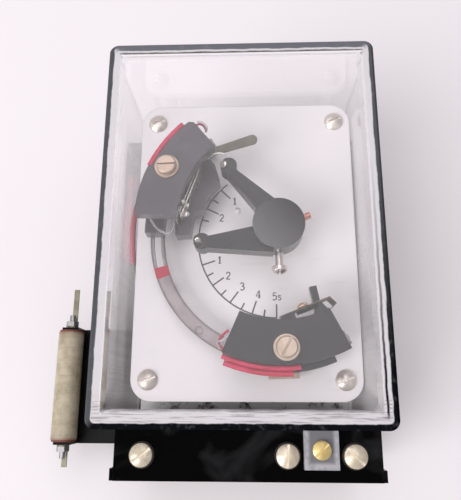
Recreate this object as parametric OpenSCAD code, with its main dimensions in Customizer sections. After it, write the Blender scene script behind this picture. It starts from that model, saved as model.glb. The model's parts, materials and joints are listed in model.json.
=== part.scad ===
// Time relay: a clockwork timer behind a white dial, under a clear cover.
// Lengths are in millimetres and angles in degrees.
// X runs to the right, Y to the top and Z out of the front.
// The origin is the middle of the base's rear face.

/* [Case] */
// Width of the base and the cover
case_w = 118; // [116:1:128]
// Height of the base and the cover
case_h = 166; // [164:1:178]
// Outer corner radius of the base and the cover
case_r = 4; // [3:0.5:8]
// Thickness of the base slab
base_t = 20; // [16:1:26]
// Height of the step that centres the cover
base_step = 4; // [3:0.5:5]
// Depth from the base's rear face to the cover's front
case_depth = 118; // [114:1:130]
// Wall of the clear cover
cover_wall = 3; // [2:0.25:3.5]
// Radius inside the cover, where its front meets its walls
cover_round = 4.5; // [2.5:0.5:5]
// Gap between the cover and the step inside it
cover_fit = 0.3; // [0.2:0.1:0.8]
// Thickness of the gasket under the cover
gasket_t = 1.2; // [0.8:0.2:2]
// Depth of the moulding pockets in the base's back
pocket_depth = 8; // [5:0.5:11]

/* [Terminal shelf] */
// Height of the shelf below the cover
shelf_h = 23; // [20:1:30]
// Distance of the shelf's front face from the rear face
shelf_z = 75; // [68:1:82]
// Sideways shift of the shelf
shelf_x = 2; // [0:0.5:4]
// Height of the lip along the shelf's lower edge
shelf_lip_h = 5; // [3:0.5:7]
// How far that lip stands out at each side
shelf_lip_out = 1.8; // [1:0.2:3]
// Radius of a terminal screw's head
terminal_head_r = 5; // [4:0.25:5.5]
// Radius of a terminal screw's shank
terminal_shank_r = 2.5; // [2:0.25:3]
// Width of the cover's lug on the shelf
lug_w = 15; // [13:0.5:17]
// Length of the lug below the cover
lug_l = 18; // [15:0.5:19]
// Thickness of the lug
lug_t = 4; // [3:0.5:6]

/* [Dial] */
// Thickness of the dial plate
dial_t = 1.5; // [1:0.25:2.5]
// Gap between the dial plate and the cover's end walls, top and bottom together
dial_gap_y = 10; // [9:0.5:14]
// Gap between the dial plate and the cover's side walls
dial_gap = 2.3; // [1.5:0.1:3]
// Distance of the dial plate's front from the rear face
dial_z = 70.5; // [69:0.5:74]
// Corner radius of the dial plate
dial_r = 10; // [6:0.5:12]
// Sideways shift of the dial plate
dial_x = 1.7; // [1.4:0.1:2.4]
// Upward shift of the dial plate
dial_y = 2; // [1:0.2:4]
// Distance of the dial screws from the plate's sides
dial_screw_inset_x = 8.1; // [7:0.25:9]
// Distance of the dial screws from the plate's top and bottom
dial_screw_inset_y = 9.7; // [8:0.25:11]
// Radius of a dial screw's head
dial_head_r = 4.8; // [3.5:0.1:5.2]
// Radius of the posts under the dial plate
dial_post_r = 3.4; // [2.5:0.1:3.8]

/* [Contact carrier] */
// Sideways place of the dial axis
axis_x = 16.6; // [14:0.1:17]
// Upward place of the dial axis
axis_y = 3.4; // [1:0.1:6]
// Radius of the hub's front disc
hub_r = 11.6; // [10:0.1:12.5]
// Gap between the dial plate and the arms
arm_lift = 17; // [16.5:0.5:20]
// Thickness of the arms
arm_t = 8.5; // [7:0.5:10]
// How far the hub's disc stands above the arms
hub_rise = 3; // [2:0.25:4]
// Angle of the upper arm at rest
upper_arm_angle = 127.8; // [124:0.2:130]
// Angle of the lower arm at rest
lower_arm_angle = 192.2; // [188:0.2:196]
// Distance of the upper arm's boss from the axis
upper_arm_reach = 36.6; // [33:0.1:36.6]
// Distance of the lower arm's boss from the axis
lower_arm_reach = 35; // [32:0.1:35.2]
// Radius of the boss at an arm's end
tip_r = 3.8; // [3:0.1:4]
// Tapered side of the lower arm at its root, from the line to its boss
arm_root_w = 11.8; // [10:0.2:12]
// Straight side of the lower arm, from the line to its boss
arm_inner = 1.8; // [1.2:0.1:2.4]
// Radius of the main shaft
shaft_r = 2.5; // [2:0.1:3]
// Turn of the carrier from rest to its stop
carrier_travel = 82; // [60:1:84]

/* [Arc rail and contact blocks] */
// Inner radius of the rail
rail_r1 = 53.7; // [53:0.1:54.6]
// Outer radius of the rail
rail_r2 = 60.3; // [60:0.1:61.5]
// Thickness of the rail
rail_t = 2.2; // [1.5:0.1:3]
// Gap between the dial plate and the rail
rail_gap = 6.5; // [5.5:0.25:7]
// Angle at which the rail starts
rail_start = 122; // [120:0.5:124]
// Angle at which the rail ends
rail_end = 303; // [302:1:306]
// Width of the rail's slots
slot_w = 3.2; // [3:0.1:3.4]
// Radius of the studs that run in the slots
stud_r = 1.3; // [1:0.05:1.4]
// Thickness of a contact block's front plate
block_t = 6; // [5:0.5:7]
// Gap between the dial plate and a contact block's front plate
block_lift = 28; // [27:0.5:29]
// Thickness of a block's foot on the rail
foot_t = 8; // [6:0.5:9]
// Inner radius of the upper block
upper_r1 = 44.8; // [44:0.1:46]
// Outer radius of the upper block
upper_r2 = 63.4; // [62.5:0.1:64]
// Angle of the upper block's upper end
upper_start = 129.2; // [128:0.2:131]
// Angle of the upper block's lower end
upper_end = 177.6; // [176:0.2:178]
// Radius of the upper clamp screw's place
upper_screw_at = 55.4; // [54:0.1:57]
// Inner radius of the lower block
lower_r1 = 43.4; // [43:0.1:45]
// Outer radius of the lower block
lower_r2 = 61.9; // [61.5:0.1:63]
// Angle of the lower block's left end
lower_start = 246.6; // [245.5:0.2:248]
// Angle of the lower block's right end
lower_end = 297.1; // [296:0.2:298]
// Radius of the lower clamp screw's place
lower_screw_at = 54.9; // [53:0.1:55.5]
// Radius of a clamp screw's head
clamp_head_r = 4.4; // [4:0.1:4.6]
// Radius of a clamp screw's washer
clamp_washer_r = 5.4; // [5:0.1:5.6]

/* [Clockwork] */
// Thickness of the frame plates
frame_t = 2; // [1.5:0.25:2.5]
// Distance between the frame plates
frame_gap = 34; // [33.5:0.5:36]
// Width of the frame plates
frame_w = 84; // [83:0.5:85]
// Height of the frame plates
frame_h = 120; // [119:0.5:121]
// Radius of the pillars between the frame plates
pillar_r = 2.5; // [2:0.1:2.8]
// Module of the teeth at the main shaft
main_mod = 0.9; // [0.88:0.01:0.91]
// Module of the teeth at the escape wheel
fine_mod = 0.7; // [0.66:0.01:0.71]
// Thickness of the wheels
wheel_t = 1.8; // [1.2:0.1:2]
// Radius of the small arbors
arbor_r = 1.5; // [1.2:0.05:1.6]
// Radius of the mainspring's drum
drum_r = 10.8; // [9:0.1:11]
// Radius of the escape wheel
escape_r = 9.5; // [8:0.1:10]

/* [Electromagnet] */
// How far the winding stays inside the bobbin's flanges
coil_inset = 1.2; // [0.5:0.1:4]
// Radius of the plunger
plunger_r = 5; // [4:0.1:5.5]
// Radius of the plunger's head
plunger_head_r = 8; // [7:0.1:8]
// Stroke of the plunger
plunger_stroke = 7; // [5:0.5:7]
// Thickness of the yoke's steel
yoke_t = 3; // [2.5:0.25:3.25]
// Wire radius of the return spring
spring_wire_r = 0.5; // [0.4:0.05:0.6]

/* [Resistor] */
// Radius of the resistor's tube
tube_r = 6.7; // [6:0.1:7]
// Length of the resistor's tube
tube_l = 55.5; // [53:0.5:57]
// Distance of the tube's axis from the rear face
tube_z = 31; // [30:0.5:34]
// Distance of the tube's axis left of the base
tube_out = 35.3; // [33:0.1:38]
// Thickness of the resistor's bracket
bracket_t = 1.6; // [1.2:0.1:2]

/* [Hidden] */
$fn = 64;

// Running gap of a shaft in its bearing, all round
run_fit = 0.05;
// Gap of a pin or screw in the piece that holds it, all round
hold_fit = 0.05;
// Gap between flat faces that slide past each other
slide_gap = 0.15;
// Least gap between curved faces of different bodies
clear_gap = 0.3;

base_top = base_t + base_step;
// Blind threaded holes in the base's back
mount_y = 70;
mount_r = 2.1;
mount_depth = 12;
rim_z = base_t + gasket_t;
step_w = case_w - 2 * cover_wall - 2 * cover_fit;
step_h = case_h - 2 * cover_wall - 2 * cover_fit;
shelf_w = case_w;
shelf_top_y = -case_h / 2 - 0.5;
shelf_mid_y = shelf_top_y - shelf_h / 2;
terminal_xs = [shelf_x - 46.5, shelf_x + 17.7, shelf_x + 47];
terminal_y = shelf_mid_y - 0.6;
terminal_depth = 14;
terminal_washer_t = 1;
lug_x = shelf_x + 32.2;
lug_screw_y = -case_h / 2 - lug_l * 0.55;

dial_w = case_w - 2 * cover_wall - 2 * dial_gap;
dial_h = case_h - 2 * cover_wall - dial_gap_y;
dial_back = dial_z - dial_t;
dial_post_x = dial_w / 2 - dial_screw_inset_x;
dial_post_y = dial_h / 2 - dial_screw_inset_y;

frame_back_z = base_top;
frame_in = frame_back_z + frame_t;
frame_front_z = frame_in + frame_gap;
pillar_x = frame_w / 2 - 4;
pillar_y = frame_h / 2 - 5;

rail_z = dial_z + rail_gap;
rail_top = rail_z + rail_t;
rail_mid = (rail_r1 + rail_r2) / 2;
stud_out = (rail_r2 - rail_r1) / 2 + clear_gap + stud_r;
rail_post_angle = 207;
rail_post_angles = [rail_start + 2.5, rail_post_angle, rail_end - 1.5];
upper_slot = [132, 197];

arm_z = dial_z + arm_lift;
arm_top = arm_z + arm_t;
hub_top = arm_top + hub_rise;
hub_neck_r = 8;
hub_neck_z = dial_z + 9;
screw_level = arm_z + 3;

block_z = dial_z + block_lift;
block_top = block_z + block_t;
foot_z = rail_top + slide_gap;
foot_top = foot_z + foot_t;
upper_mid = 153.5;
lower_mid = 271.9;
leaf_at = 43.6;
leaf_mid = 160.4;
leaf_low = 13.5;
leaf_high = 19;
rivet_xs = [-8, -4];
leaf_t = 0.4;
leaf_w = block_z - foot_top - 1;
leaf_pitch = 1.2;
leaf_pad_t = 2;
lower_leaf_at = 38.6;
lower_leaf_mid = 286.1;
lower_leaf_l = 23.4;
lower_pad_t = 9;
sleeve_r = 1.1;
upper_groove = 1.6;

pinion_teeth = 12;
main_teeth = 48;
second_teeth = 42;
shaft_pinion_teeth = 24;
sector_teeth = 96;
second_dir = 58;
escape_dir = 150;
pallet_dir = 168;
sector_dir = 160;
second_at = polar(main_mod * (main_teeth + pinion_teeth) / 2, second_dir);
escape_at = second_at + polar(fine_mod * (second_teeth + pinion_teeth) / 2, escape_dir);
pallet_at = escape_at + polar(escape_r + 4.5, pallet_dir);
sector_at = polar(main_mod * (shaft_pinion_teeth + sector_teeth) / 2, sector_dir);
// The toothed arc from the line between its shaft and the main one
sector_low = -6.5;
sector_high = 27.5;
sector_z = frame_in + 4;
main_z = frame_in + 10;
second_z = frame_in + 20;
escape_z = frame_in + 26;
drum_z = frame_in + 16;

coil_x = -16;
yoke_base_t = yoke_t - 1;
flange_r = (frame_gap - yoke_base_t) / 2 - 0.5;
coil_z = frame_in + yoke_base_t + flange_r + clear_gap;
yoke_w = 2 * flange_r + 2;
yoke_bottom = -56;
yoke_l = 42;
yoke_top = yoke_bottom + yoke_l;
bobbin_wall = 1.2;
plunger_low = yoke_bottom + 20;
stem_r = plunger_r - 2;
stem_l = 12;
plunger_top = axis_y + sector_at[1] - 2.5;
plunger_head_t = 4;
crank_z = coil_z + plunger_head_r + 1;
crank_l = coil_x - axis_x - sector_at[0];

tube_x = -case_w / 2 - tube_out;
tube_y = -64.6;
ear_y = tube_l / 2 + 1;
bracket_z = tube_z - tube_r - 2.6 - bracket_t;
bracket_half = ear_y + bracket_t;
tab_t = 0.8;

// A point of the dial plane in polar form, measured from the axis
function polar(r, a) = [r * cos(a), r * sin(a)];
function unit(v) = v / norm(v);

// One flank point of an involute tooth, at unwinding angle t
function flank(rb, t, shift) =
    let (r = rb * sqrt(1 + pow(t * PI / 180, 2)), a = t - atan(t * PI / 180) + shift)
    polar(r, a);

// Unwinding angle at which an involute from base radius rb reaches radius r
function unwind(rb, r) = r <= rb ? 0 : sqrt(pow(r / rb, 2) - 1) * 180 / PI;

// The rising flank of one tooth centred on angle 0, from its root to its tip
function rising(teeth, mod, tip, root, slack) =
    let (r = mod * teeth / 2,
        rb = r * cos(20),
        low = r - root * mod,
        t_start = unwind(rb, low),
        t_end = unwind(rb, r + tip * mod),
        half = 90 / teeth - slack / r * 28.65 + 0.854)
    [if (low < rb) polar(low, -half),
        for (s = [0, 0.6, 1]) flank(rb, t_start + (t_end - t_start) * s, -half)];

// The outline of that tooth, with the same flank mirrored for its other side
function tooth(teeth, mod, tip, root, slack) =
    let (up = rising(teeth, mod, tip, root, slack), n = len(up))
    [for (p = up) p, for (i = [n - 1 : -1 : 0]) [up[i][0], -up[i][1]]];

function turned(p, a) = [p[0] * cos(a) - p[1] * sin(a), p[0] * sin(a) + p[1] * cos(a)];

// Points on a smooth curve through the points p
function smooth(p, steps) =
    let (n = len(p))
    [for (i = [0 : n - 2]) for (s = [0 : steps - 1])
        let (u = s / steps,
            a = i > 0 ? p[i - 1] : 2 * p[0] - p[1],
            b = p[i],
            c = p[i + 1],
            d = i < n - 2 ? p[i + 2] : 2 * p[n - 1] - p[n - 2])
        0.5 * (2 * b + (c - a) * u + (2 * a - 5 * b + 4 * c - d) * u * u
            + (3 * b - 3 * c + d - a) * u * u * u),
     p[n - 1]];

function tangents(p) =
    let (n = len(p))
    [for (i = [0 : n - 1]) unit(p[min(i + 1, n - 1)] - p[max(i - 1, 0)])];

// Side directions that turn as little as possible along the curve
function sides(t, start) =
    [for (i = 0, u = unit(start - (start * t[0]) * t[0]);
        i < len(t);
        i = i + 1, u = i < len(t) ? unit(u - (u * t[i]) * t[i]) : u) u];

module tube(points, r, n = 8, start = [0.3, 0.5, 0.8]) {
    t = tangents(points);
    u = sides(t, start);
    count = len(points);
    verts = [for (i = [0 : count - 1]) for (k = [0 : n - 1])
        points[i] + r * (cos(360 * k / n) * u[i] + sin(360 * k / n) * cross(t[i], u[i]))];
    faces = [
        [for (k = [0 : n - 1]) k],
        [for (k = [n - 1 : -1 : 0]) (count - 1) * n + k],
        for (i = [0 : count - 2]) for (k = [0 : n - 1])
            [i * n + k, (i + 1) * n + k, (i + 1) * n + (k + 1) % n, i * n + (k + 1) % n]];
    polyhedron(points = verts, faces = faces);
}

module at_axis(z = 0) {
    translate([axis_x, axis_y, z]) children();
}

module at_dial() {
    translate([dial_x, dial_y, 0]) children();
}

// A plate with round corners that stands on the plane z = 0
module round_plate(w, h, t, r) {
    translate([-w / 2 + r, -h / 2, 0]) cube([w - 2 * r, h, t]);
    translate([-w / 2, -h / 2 + r, 0]) cube([w, h - 2 * r, t]);
    for (x = [-1, 1], y = [-1, 1])
        translate([x * (w / 2 - r), y * (h / 2 - r), 0]) cylinder(r = r, h = t);
}

// A flat bar bent along an arc about the dial axis
module arc_bar(r1, r2, a1, a2, z, t) {
    at_axis(z) rotate([0, 0, a1]) rotate_extrude(angle = a2 - a1, $fn = 180)
        translate([r1, 0]) square([r2 - r1, t]);
}

// The flat outline of an arc-shaped bar about the origin
module arc_face(r1, r2, a1, a2) {
    far = r2 * 1.5;
    intersection() {
        difference() {
            circle(r = r2);
            circle(r = r1);
        }
        polygon([[0, 0], for (i = [0 : 4]) polar(far, a1 + (a2 - a1) * i / 4)]);
    }
}

// Places a piece at a radius and angle about the dial axis
module at_polar(r, a, z = 0) {
    at_axis(z) rotate([0, 0, a]) translate([r, 0, 0]) children();
}

module gear(teeth, mod, t, tip = 0.8, root = 1.2, slack = 0.16) {
    one = tooth(teeth, mod, tip, root, slack);
    linear_extrude(t) polygon([for (i = [0 : teeth - 1]) for (p = one) turned(p, 360 * i / teeth)]);
}

// A slotted screw that stands on the plane z = 0, with its shank below
module slotted_screw(head_r, head_h, shank_r, shank_l, slot, dome = 0, turn = 0, edge = 0) {
    difference() {
        union() {
            cylinder(r = head_r, h = head_h - dome - edge);
            if (dome > 0) translate([0, 0, head_h - dome]) screw_dome(head_r, dome);
            if (edge > 0) translate([0, 0, head_h - edge])
                cylinder(r1 = head_r, r2 = head_r - edge, h = edge);
        }
        rotate([0, 0, turn]) translate([-head_r - 1, -slot / 2, head_h * 0.55])
            cube([2 * head_r + 2, slot, head_h]);
    }
    translate([0, 0, -shank_l]) cylinder(r = shank_r, h = shank_l);
}

// The crowned top of a screw's head
module screw_dome(r, h) {
    ball_r = (r * r + h * h) / (2 * h);
    intersection() {
        cylinder(r = r, h = h);
        translate([0, 0, h - ball_r]) sphere(r = ball_r, $fn = 96);
    }
}

module base_pockets() {
    pocket = 18;
    rib = 3;
    spine = 26;
    rows = 8;
    span = rows * pocket + (rows - 1) * rib;
    for (side = [-1, 1], column = [0, 1], row = [0 : rows - 1])
        translate([side * (spine / 2 + pocket / 2 + column * (pocket + rib)),
                -span / 2 + pocket / 2 + row * (pocket + rib), pocket_depth / 2 - 0.5])
            cube([pocket, pocket, pocket_depth + 1], center = true);
}

module shelf_pockets() {
    pocket = 16;
    rib = 3.4;
    wall = 4;
    depth = shelf_z - terminal_depth - 5;
    for (i = [-2.5 : 1 : 2.5])
        translate([shelf_x + i * (pocket + rib), shelf_mid_y, depth / 2 - 0.5])
            cube([pocket, shelf_h - 2 * wall, depth + 1], center = true);
}

module base() {
    color("#1b1a1c") difference() {
        union() {
            round_plate(case_w, case_h, base_t, case_r);
            round_plate(step_w, step_h, base_top, case_r - 1);
            translate([shelf_x - shelf_w / 2, shelf_top_y - shelf_h, 0])
                cube([shelf_w, shelf_h, shelf_z]);
            translate([shelf_x - shelf_w / 2 - shelf_lip_out, shelf_top_y - shelf_h, 0])
                cube([shelf_w + 2 * shelf_lip_out, shelf_lip_h, shelf_z - 1]);
            translate([-case_w / 2 + case_r, shelf_top_y - 1, 0])
                cube([case_w - 2 * case_r, 2, base_t]);
        }
        base_pockets();
        shelf_pockets();
        for (x = terminal_xs)
            translate([x, terminal_y, shelf_z - terminal_depth])
                cylinder(r = terminal_shank_r + hold_fit, h = terminal_depth + 1);
        translate([lug_x, lug_screw_y, shelf_z - 10]) cylinder(r = 1.5 + hold_fit, h = 11);
        for (y = [-1, 1])
            translate([0, y * mount_y, -1]) cylinder(r = mount_r, h = mount_depth + 1);
        at_frame_screws() translate([0, 0, base_top - 8]) cylinder(r = 1.5 + hold_fit, h = 9);
        at_bracket_screws() translate([0, 0, -7]) cylinder(r = 1.5 + hold_fit, h = 8);
    }
}

module gasket() {
    color("#3a3a3c") translate([0, 0, base_t]) difference() {
        round_plate(case_w - 0.6, case_h - 0.6, gasket_t, case_r - 0.3);
        translate([0, 0, -1]) round_plate(step_w + 0.4, step_h + 0.4, gasket_t + 2, case_r - 0.8);
    }
}

module cover() {
    inner_r = max(case_r - cover_wall, 0.8);
    inner_top = case_depth - cover_wall;
    inner_w = case_w - 2 * cover_wall;
    inner_h = case_h - 2 * cover_wall;
    color([0.85, 0.92, 0.95, 0.3]) difference() {
        union() {
            translate([0, 0, rim_z]) round_plate(case_w, case_h, case_depth - rim_z - 1.5, case_r);
            hull() {
                translate([0, 0, case_depth - 1.6])
                    round_plate(case_w, case_h, 0.1, case_r, $fn = 32);
                translate([0, 0, case_depth - 0.1])
                    round_plate(case_w - 2.4, case_h - 2.4, 0.1, case_r - 1.2, $fn = 32);
            }
            cover_lug();
        }
        translate([0, 0, rim_z - 1])
            round_plate(inner_w, inner_h, inner_top - rim_z + 1 - cover_round, inner_r);
        hull() for (a = [0, 30, 60, 90]) {
            inset = cover_round * (1 - cos(a));
            translate([0, 0, inner_top - cover_round * (1 - sin(a)) - 0.1])
                round_plate(inner_w - 2 * inset, inner_h - 2 * inset, 0.1, inner_r + inset / 3, $fn = 32);
        }
        translate([lug_x, lug_screw_y, shelf_z - 1]) cylinder(r = 1.8, h = lug_t + 2);
    }
}

module cover_lug() {
    translate([lug_x - lug_w / 2, -case_h / 2 - lug_l, shelf_z])
        cube([lug_w, lug_l + cover_wall, lug_t]);
}

module cover_screw() {
    color("#d9b53a") translate([lug_x, lug_screw_y, shelf_z + lug_t])
        slotted_screw(4, 2.6, 1.5, lug_t + 8, 1, 1.2, 40);
}

module terminal_screws() {
    color("#c9c2b8") for (i = [0 : len(terminal_xs) - 1])
        translate([terminal_xs[i], terminal_y, shelf_z + terminal_washer_t])
            slotted_screw(terminal_head_r, 3.4, terminal_shank_r, 12, 1.2, 1.6, 35 + 50 * i);
}

module terminal_washers() {
    color("#b9b2a6") for (x = terminal_xs)
        translate([x, terminal_y, shelf_z]) difference() {
            cylinder(r = terminal_head_r + 0.7, h = terminal_washer_t);
            translate([0, 0, -1]) cylinder(r = terminal_shank_r + hold_fit, h = 3);
        }
}

module at_dial_screws() {
    at_dial() for (x = [-1, 1], y = [-1, 1])
        translate([x * dial_post_x, y * dial_post_y, 0]) children();
}

module dial_plate() {
    color("#efe6ec") difference() {
        at_dial() translate([0, 0, dial_back]) round_plate(dial_w, dial_h, dial_t, dial_r);
        at_dial_screws() translate([0, 0, dial_back - 1]) cylinder(r = 1.9, h = dial_t + 2);
        at_axis(dial_back - 1) cylinder(r = hub_neck_r - 2, h = dial_t + 2);
        at_polar(24.7, 139.8, dial_back - 1) cylinder(r = 1.3, h = dial_t + 2);
    }
}

module dial_posts() {
    color("#a9a9ad") at_dial_screws() translate([0, 0, base_top]) difference() {
        cylinder(r = dial_post_r, h = dial_back - base_top);
        translate([0, 0, dial_back - base_top - 8]) cylinder(r = 1.5 + hold_fit, h = 9);
    }
}

module dial_screws() {
    color("#cfc8c0") at_dial_screws() translate([0, 0, dial_z])
        slotted_screw(dial_head_r, 2.8, 1.5, 8, 1, 2.2, 20);
}

module at_pillars() {
    at_dial() for (x = [-1, 1], y = [-1, 1]) translate([x * pillar_x, y * pillar_y, 0]) children();
}

module at_frame_screws() {
    at_dial() for (x = [-1, 1], y = [-1, 1])
        translate([x * pillar_x, y * (pillar_y - 12), 0]) children();
}

// Bearing holes for the arbors of the train
module train_bores(z) {
    at_axis(z - 1) {
        for (p = [second_at, escape_at, pallet_at, sector_at])
            translate(p) cylinder(r = arbor_r - 0.5 + run_fit, h = frame_t + 2);
    }
}

module frame_rear() {
    color("#b5b6b8") difference() {
        at_dial() translate([0, 0, frame_back_z]) round_plate(frame_w, frame_h, frame_t, 3);
        train_bores(frame_back_z);
        at_axis(frame_back_z - 1) cylinder(r = shaft_r - 1 + run_fit, h = frame_t + 2);
        at_frame_screws() translate([0, 0, frame_back_z - 1]) cylinder(r = 1.7, h = frame_t + 2);
        at_pillars() translate([0, 0, frame_back_z - 1]) cylinder(r = 1.2 + hold_fit, h = frame_t + 2);
    }
}

module frame_front() {
    color("#c6a95a") difference() {
        at_dial() translate([0, 0, frame_front_z]) round_plate(frame_w, frame_h, frame_t, 3);
        train_bores(frame_front_z);
        at_axis(frame_front_z - 1) cylinder(r = shaft_r + run_fit, h = frame_t + 2);
        at_pillars() translate([0, 0, frame_front_z - 1])
            cylinder(r = 1.2 + hold_fit, h = frame_t + 2);
        translate([coil_x - 13, yoke_bottom + 6, frame_front_z - 1]) cube([26, 30, frame_t + 2]);
        translate([coil_x + 24, yoke_bottom + 6, frame_front_z - 1]) cube([26, 24, frame_t + 2]);
    }
}

module frame_pillars() {
    color("#c9ad62") at_pillars() {
        translate([0, 0, frame_in]) cylinder(r = pillar_r, h = frame_gap);
        translate([0, 0, frame_back_z + 0.2]) cylinder(r = 1.2, h = frame_gap + 2 * frame_t - 0.4);
    }
}

// Like screws hold the rear frame plate and the resistor's bracket
module small_screws() {
    color("#bdb7ae") {
        at_frame_screws() translate([0, 0, frame_in]) small_screw();
        at_bracket_screws() translate([0, 0, bracket_t]) small_screw();
    }
}

module small_screw() {
    slotted_screw(2.8, 1.8, 1.5, 8, 0.8);
}

module arc_rail() {
    color("#9a9a98") difference() {
        at_axis(rail_z) linear_extrude(rail_t) difference() {
            arc_face(rail_r1, rail_r2, rail_start, rail_end);
            arc_face(rail_mid - slot_w / 2, rail_mid + slot_w / 2, upper_slot[0], upper_slot[1]);
            for (a = upper_slot) translate(polar(rail_mid, a)) circle(r = slot_w / 2 - 0.03);
        }
        for (a = rail_post_angles)
            at_polar(rail_mid, a, rail_z - 1) cylinder(r = 1.2 + hold_fit, h = rail_t + 0.2);
        // Mark stamped round the middle of the lower range
        at_polar(rail_mid + 0.6, 231.4, rail_top - 0.4) difference() {
            cylinder(r = 2, h = 1);
            translate([0, 0, -1]) cylinder(r = 1.4, h = 3);
        }
    }
}

module rail_posts() {
    color("#8f8f90") for (a = rail_post_angles) at_polar(rail_mid, a, dial_z) {
        cylinder(r = 2.6, h = rail_gap);
        cylinder(r = 1.2, h = rail_gap + rail_t - 0.8);
    }
}

// One arm with its round boss, pointing along +X, from the edge facing the other arm to its tapered edge
module arm(reach, inner, tip, root) {
    linear_extrude(arm_t) polygon([[5, -inner], [reach, -inner], [reach, tip], [5, root]]);
    translate([reach, 0, 0]) cylinder(r = tip_r, h = arm_t);
}

// Where each arm holds its silver contact, tipped up out of the boss
module at_contacts() {
    for (arm_data = [[upper_arm_angle, upper_arm_reach, 14], [lower_arm_angle, lower_arm_reach, -42]])
        at_polar(arm_data[1], arm_data[0], arm_top - 2.2) translate(polar(2.4, arm_data[2]))
            rotate([0, 45, 90]) children();
}

module contact_carrier() {
    color("#2c2b2e") difference() {
        union() {
            at_axis(arm_z - 1) cylinder(r = hub_r, h = arm_t + hub_rise + 1);
            at_axis(hub_neck_z) cylinder(r = hub_neck_r, h = arm_z - hub_neck_z);
            at_axis(arm_z) rotate([0, 0, upper_arm_angle]) mirror([0, 1, 0])
                arm(upper_arm_reach, 3, 0.6, arm_root_w - 4);
            at_axis(arm_z) rotate([0, 0, lower_arm_angle]) arm(lower_arm_reach, arm_inner, 3, arm_root_w);
        }
        at_axis(hub_neck_z - 1) cylinder(r = shaft_r + hold_fit, h = hub_top - hub_neck_z - 1.5);
        at_contacts() translate([0, 0, -1.5]) cylinder(r = 1.9 + hold_fit, h = 8);
        at_polar(0, 271, screw_level) rotate([0, 90, 0]) translate([0, 0, shaft_r])
            cylinder(r = 1.8 + hold_fit, h = 20);
        at_polar(0, 23, screw_level) rotate([0, 90, 0]) translate([0, 0, shaft_r])
            cylinder(r = 1.6 + hold_fit, h = 20);
    }
}

module carrier_contacts() {
    color("#dcdad6") at_contacts() {
        translate([0, 0, -1.45]) cylinder(r = 1.9, h = 2.6);
        translate([0, 0, 1.1]) cylinder(r1 = 1.9, r2 = 1.3, h = 0.4);
    }
}

module carrier_set_screw() {
    color("#d8cfa0") at_polar(0, 271, screw_level) rotate([0, 90, 0]) translate([0, 0, hub_r + 6.4])
        slotted_screw(3.5, 3.6, 1.8, hub_r + 6.4 - shaft_r - 0.1, 0.9, 1.8, 0);
}

module carrier_clamp_screw() {
    color("#b56a4a") at_polar(0, 23, screw_level) rotate([0, 90, 0])
        translate([0, 0, shaft_r + 0.1]) cylinder(r = 1.6, h = hub_r + 4.2 - shaft_r);
}

module main_shaft() {
    color("#c7c7c9") at_axis() {
        translate([0, 0, frame_back_z + 0.1]) cylinder(r = shaft_r - 1, h = frame_t + 1);
        translate([0, 0, frame_in + slide_gap]) cylinder(r = shaft_r, h = hub_top - 3 - frame_in);
    }
}

module main_wheel() {
    color("#caa64c") at_axis(main_z) difference() {
        union() {
            rotate([0, 0, second_dir]) gear(main_teeth, main_mod, wheel_t);
            translate([0, 0, -2]) cylinder(r = 5, h = wheel_t + 4);
        }
        translate([0, 0, -3]) cylinder(r = shaft_r + hold_fit, h = wheel_t + 6);
        for (a = [0 : 72 : 288]) rotate([0, 0, a]) translate([12.6, 0, -1]) cylinder(r = 4.6, h = wheel_t + 2);
    }
}

module main_pinion() {
    color("#bf9b44") at_axis(sector_z - 0.8) difference() {
        rotate([0, 0, sector_dir + 180 / shaft_pinion_teeth])
            gear(shaft_pinion_teeth, main_mod, wheel_t + 1.6);
        translate([0, 0, -1]) cylinder(r = shaft_r + hold_fit, h = wheel_t + 4);
    }
}

module mainspring_drum() {
    drum_l = frame_front_z - drum_z;
    color("#8d8f92") at_axis(drum_z) difference() {
        cylinder(r = drum_r, h = drum_l);
        translate([0, 0, -1]) cylinder(r = shaft_r + clear_gap, h = drum_l + 2);
        translate([0, 0, drum_l - 3]) difference() {
            cylinder(r = drum_r + 1, h = 1.2);
            cylinder(r = drum_r - 0.8, h = 1.2);
        }
    }
}

module sector_gear() {
    sector_r = main_mod * sector_teeth / 2;
    line = sector_dir + 180;
    color("#c8a552") at_axis(sector_z) translate(sector_at) difference() {
        union() {
            intersection() {
                rotate([0, 0, line]) gear(sector_teeth, main_mod, wheel_t);
                rotate([0, 0, line + sector_low]) rotate_extrude(angle = sector_high - sector_low)
                    translate([sector_r - 5, 0]) square([8, wheel_t]);
            }
            for (a = [sector_low + 2.5, sector_high - 2.5])
                rotate([0, 0, line + a]) translate([0, -2, 0]) cube([sector_r - 2, 4, wheel_t]);
            cylinder(r = 5, h = frame_front_z - 5 - sector_z);
            translate([0, 0, crank_z - sector_z]) crank_arm();
        }
        translate([0, 0, -1]) cylinder(r = arbor_r + hold_fit, h = frame_gap);
    }
}

// The arm that rests at the plunger's head, with its short pin
module crank_arm() {
    translate([0, -2.5, 0]) cube([crank_l, 5, 2]);
    translate([crank_l, 0, 0]) cylinder(r = 2.5, h = 2);
    translate([crank_l, 0, -0.7]) cylinder(r = 1.4, h = 1);
}

// An arbor between the frame plates, with thin pivots in their bearings
module arbor() {
    translate([0, 0, frame_back_z + 0.1]) cylinder(r = arbor_r - 0.5, h = frame_gap + 2 * frame_t - 0.2);
    translate([0, 0, frame_in + slide_gap]) cylinder(r = arbor_r, h = frame_gap - 2 * slide_gap);
}

module sector_arbor() {
    color("#c7c7c9") at_axis() translate(sector_at) arbor();
}

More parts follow.
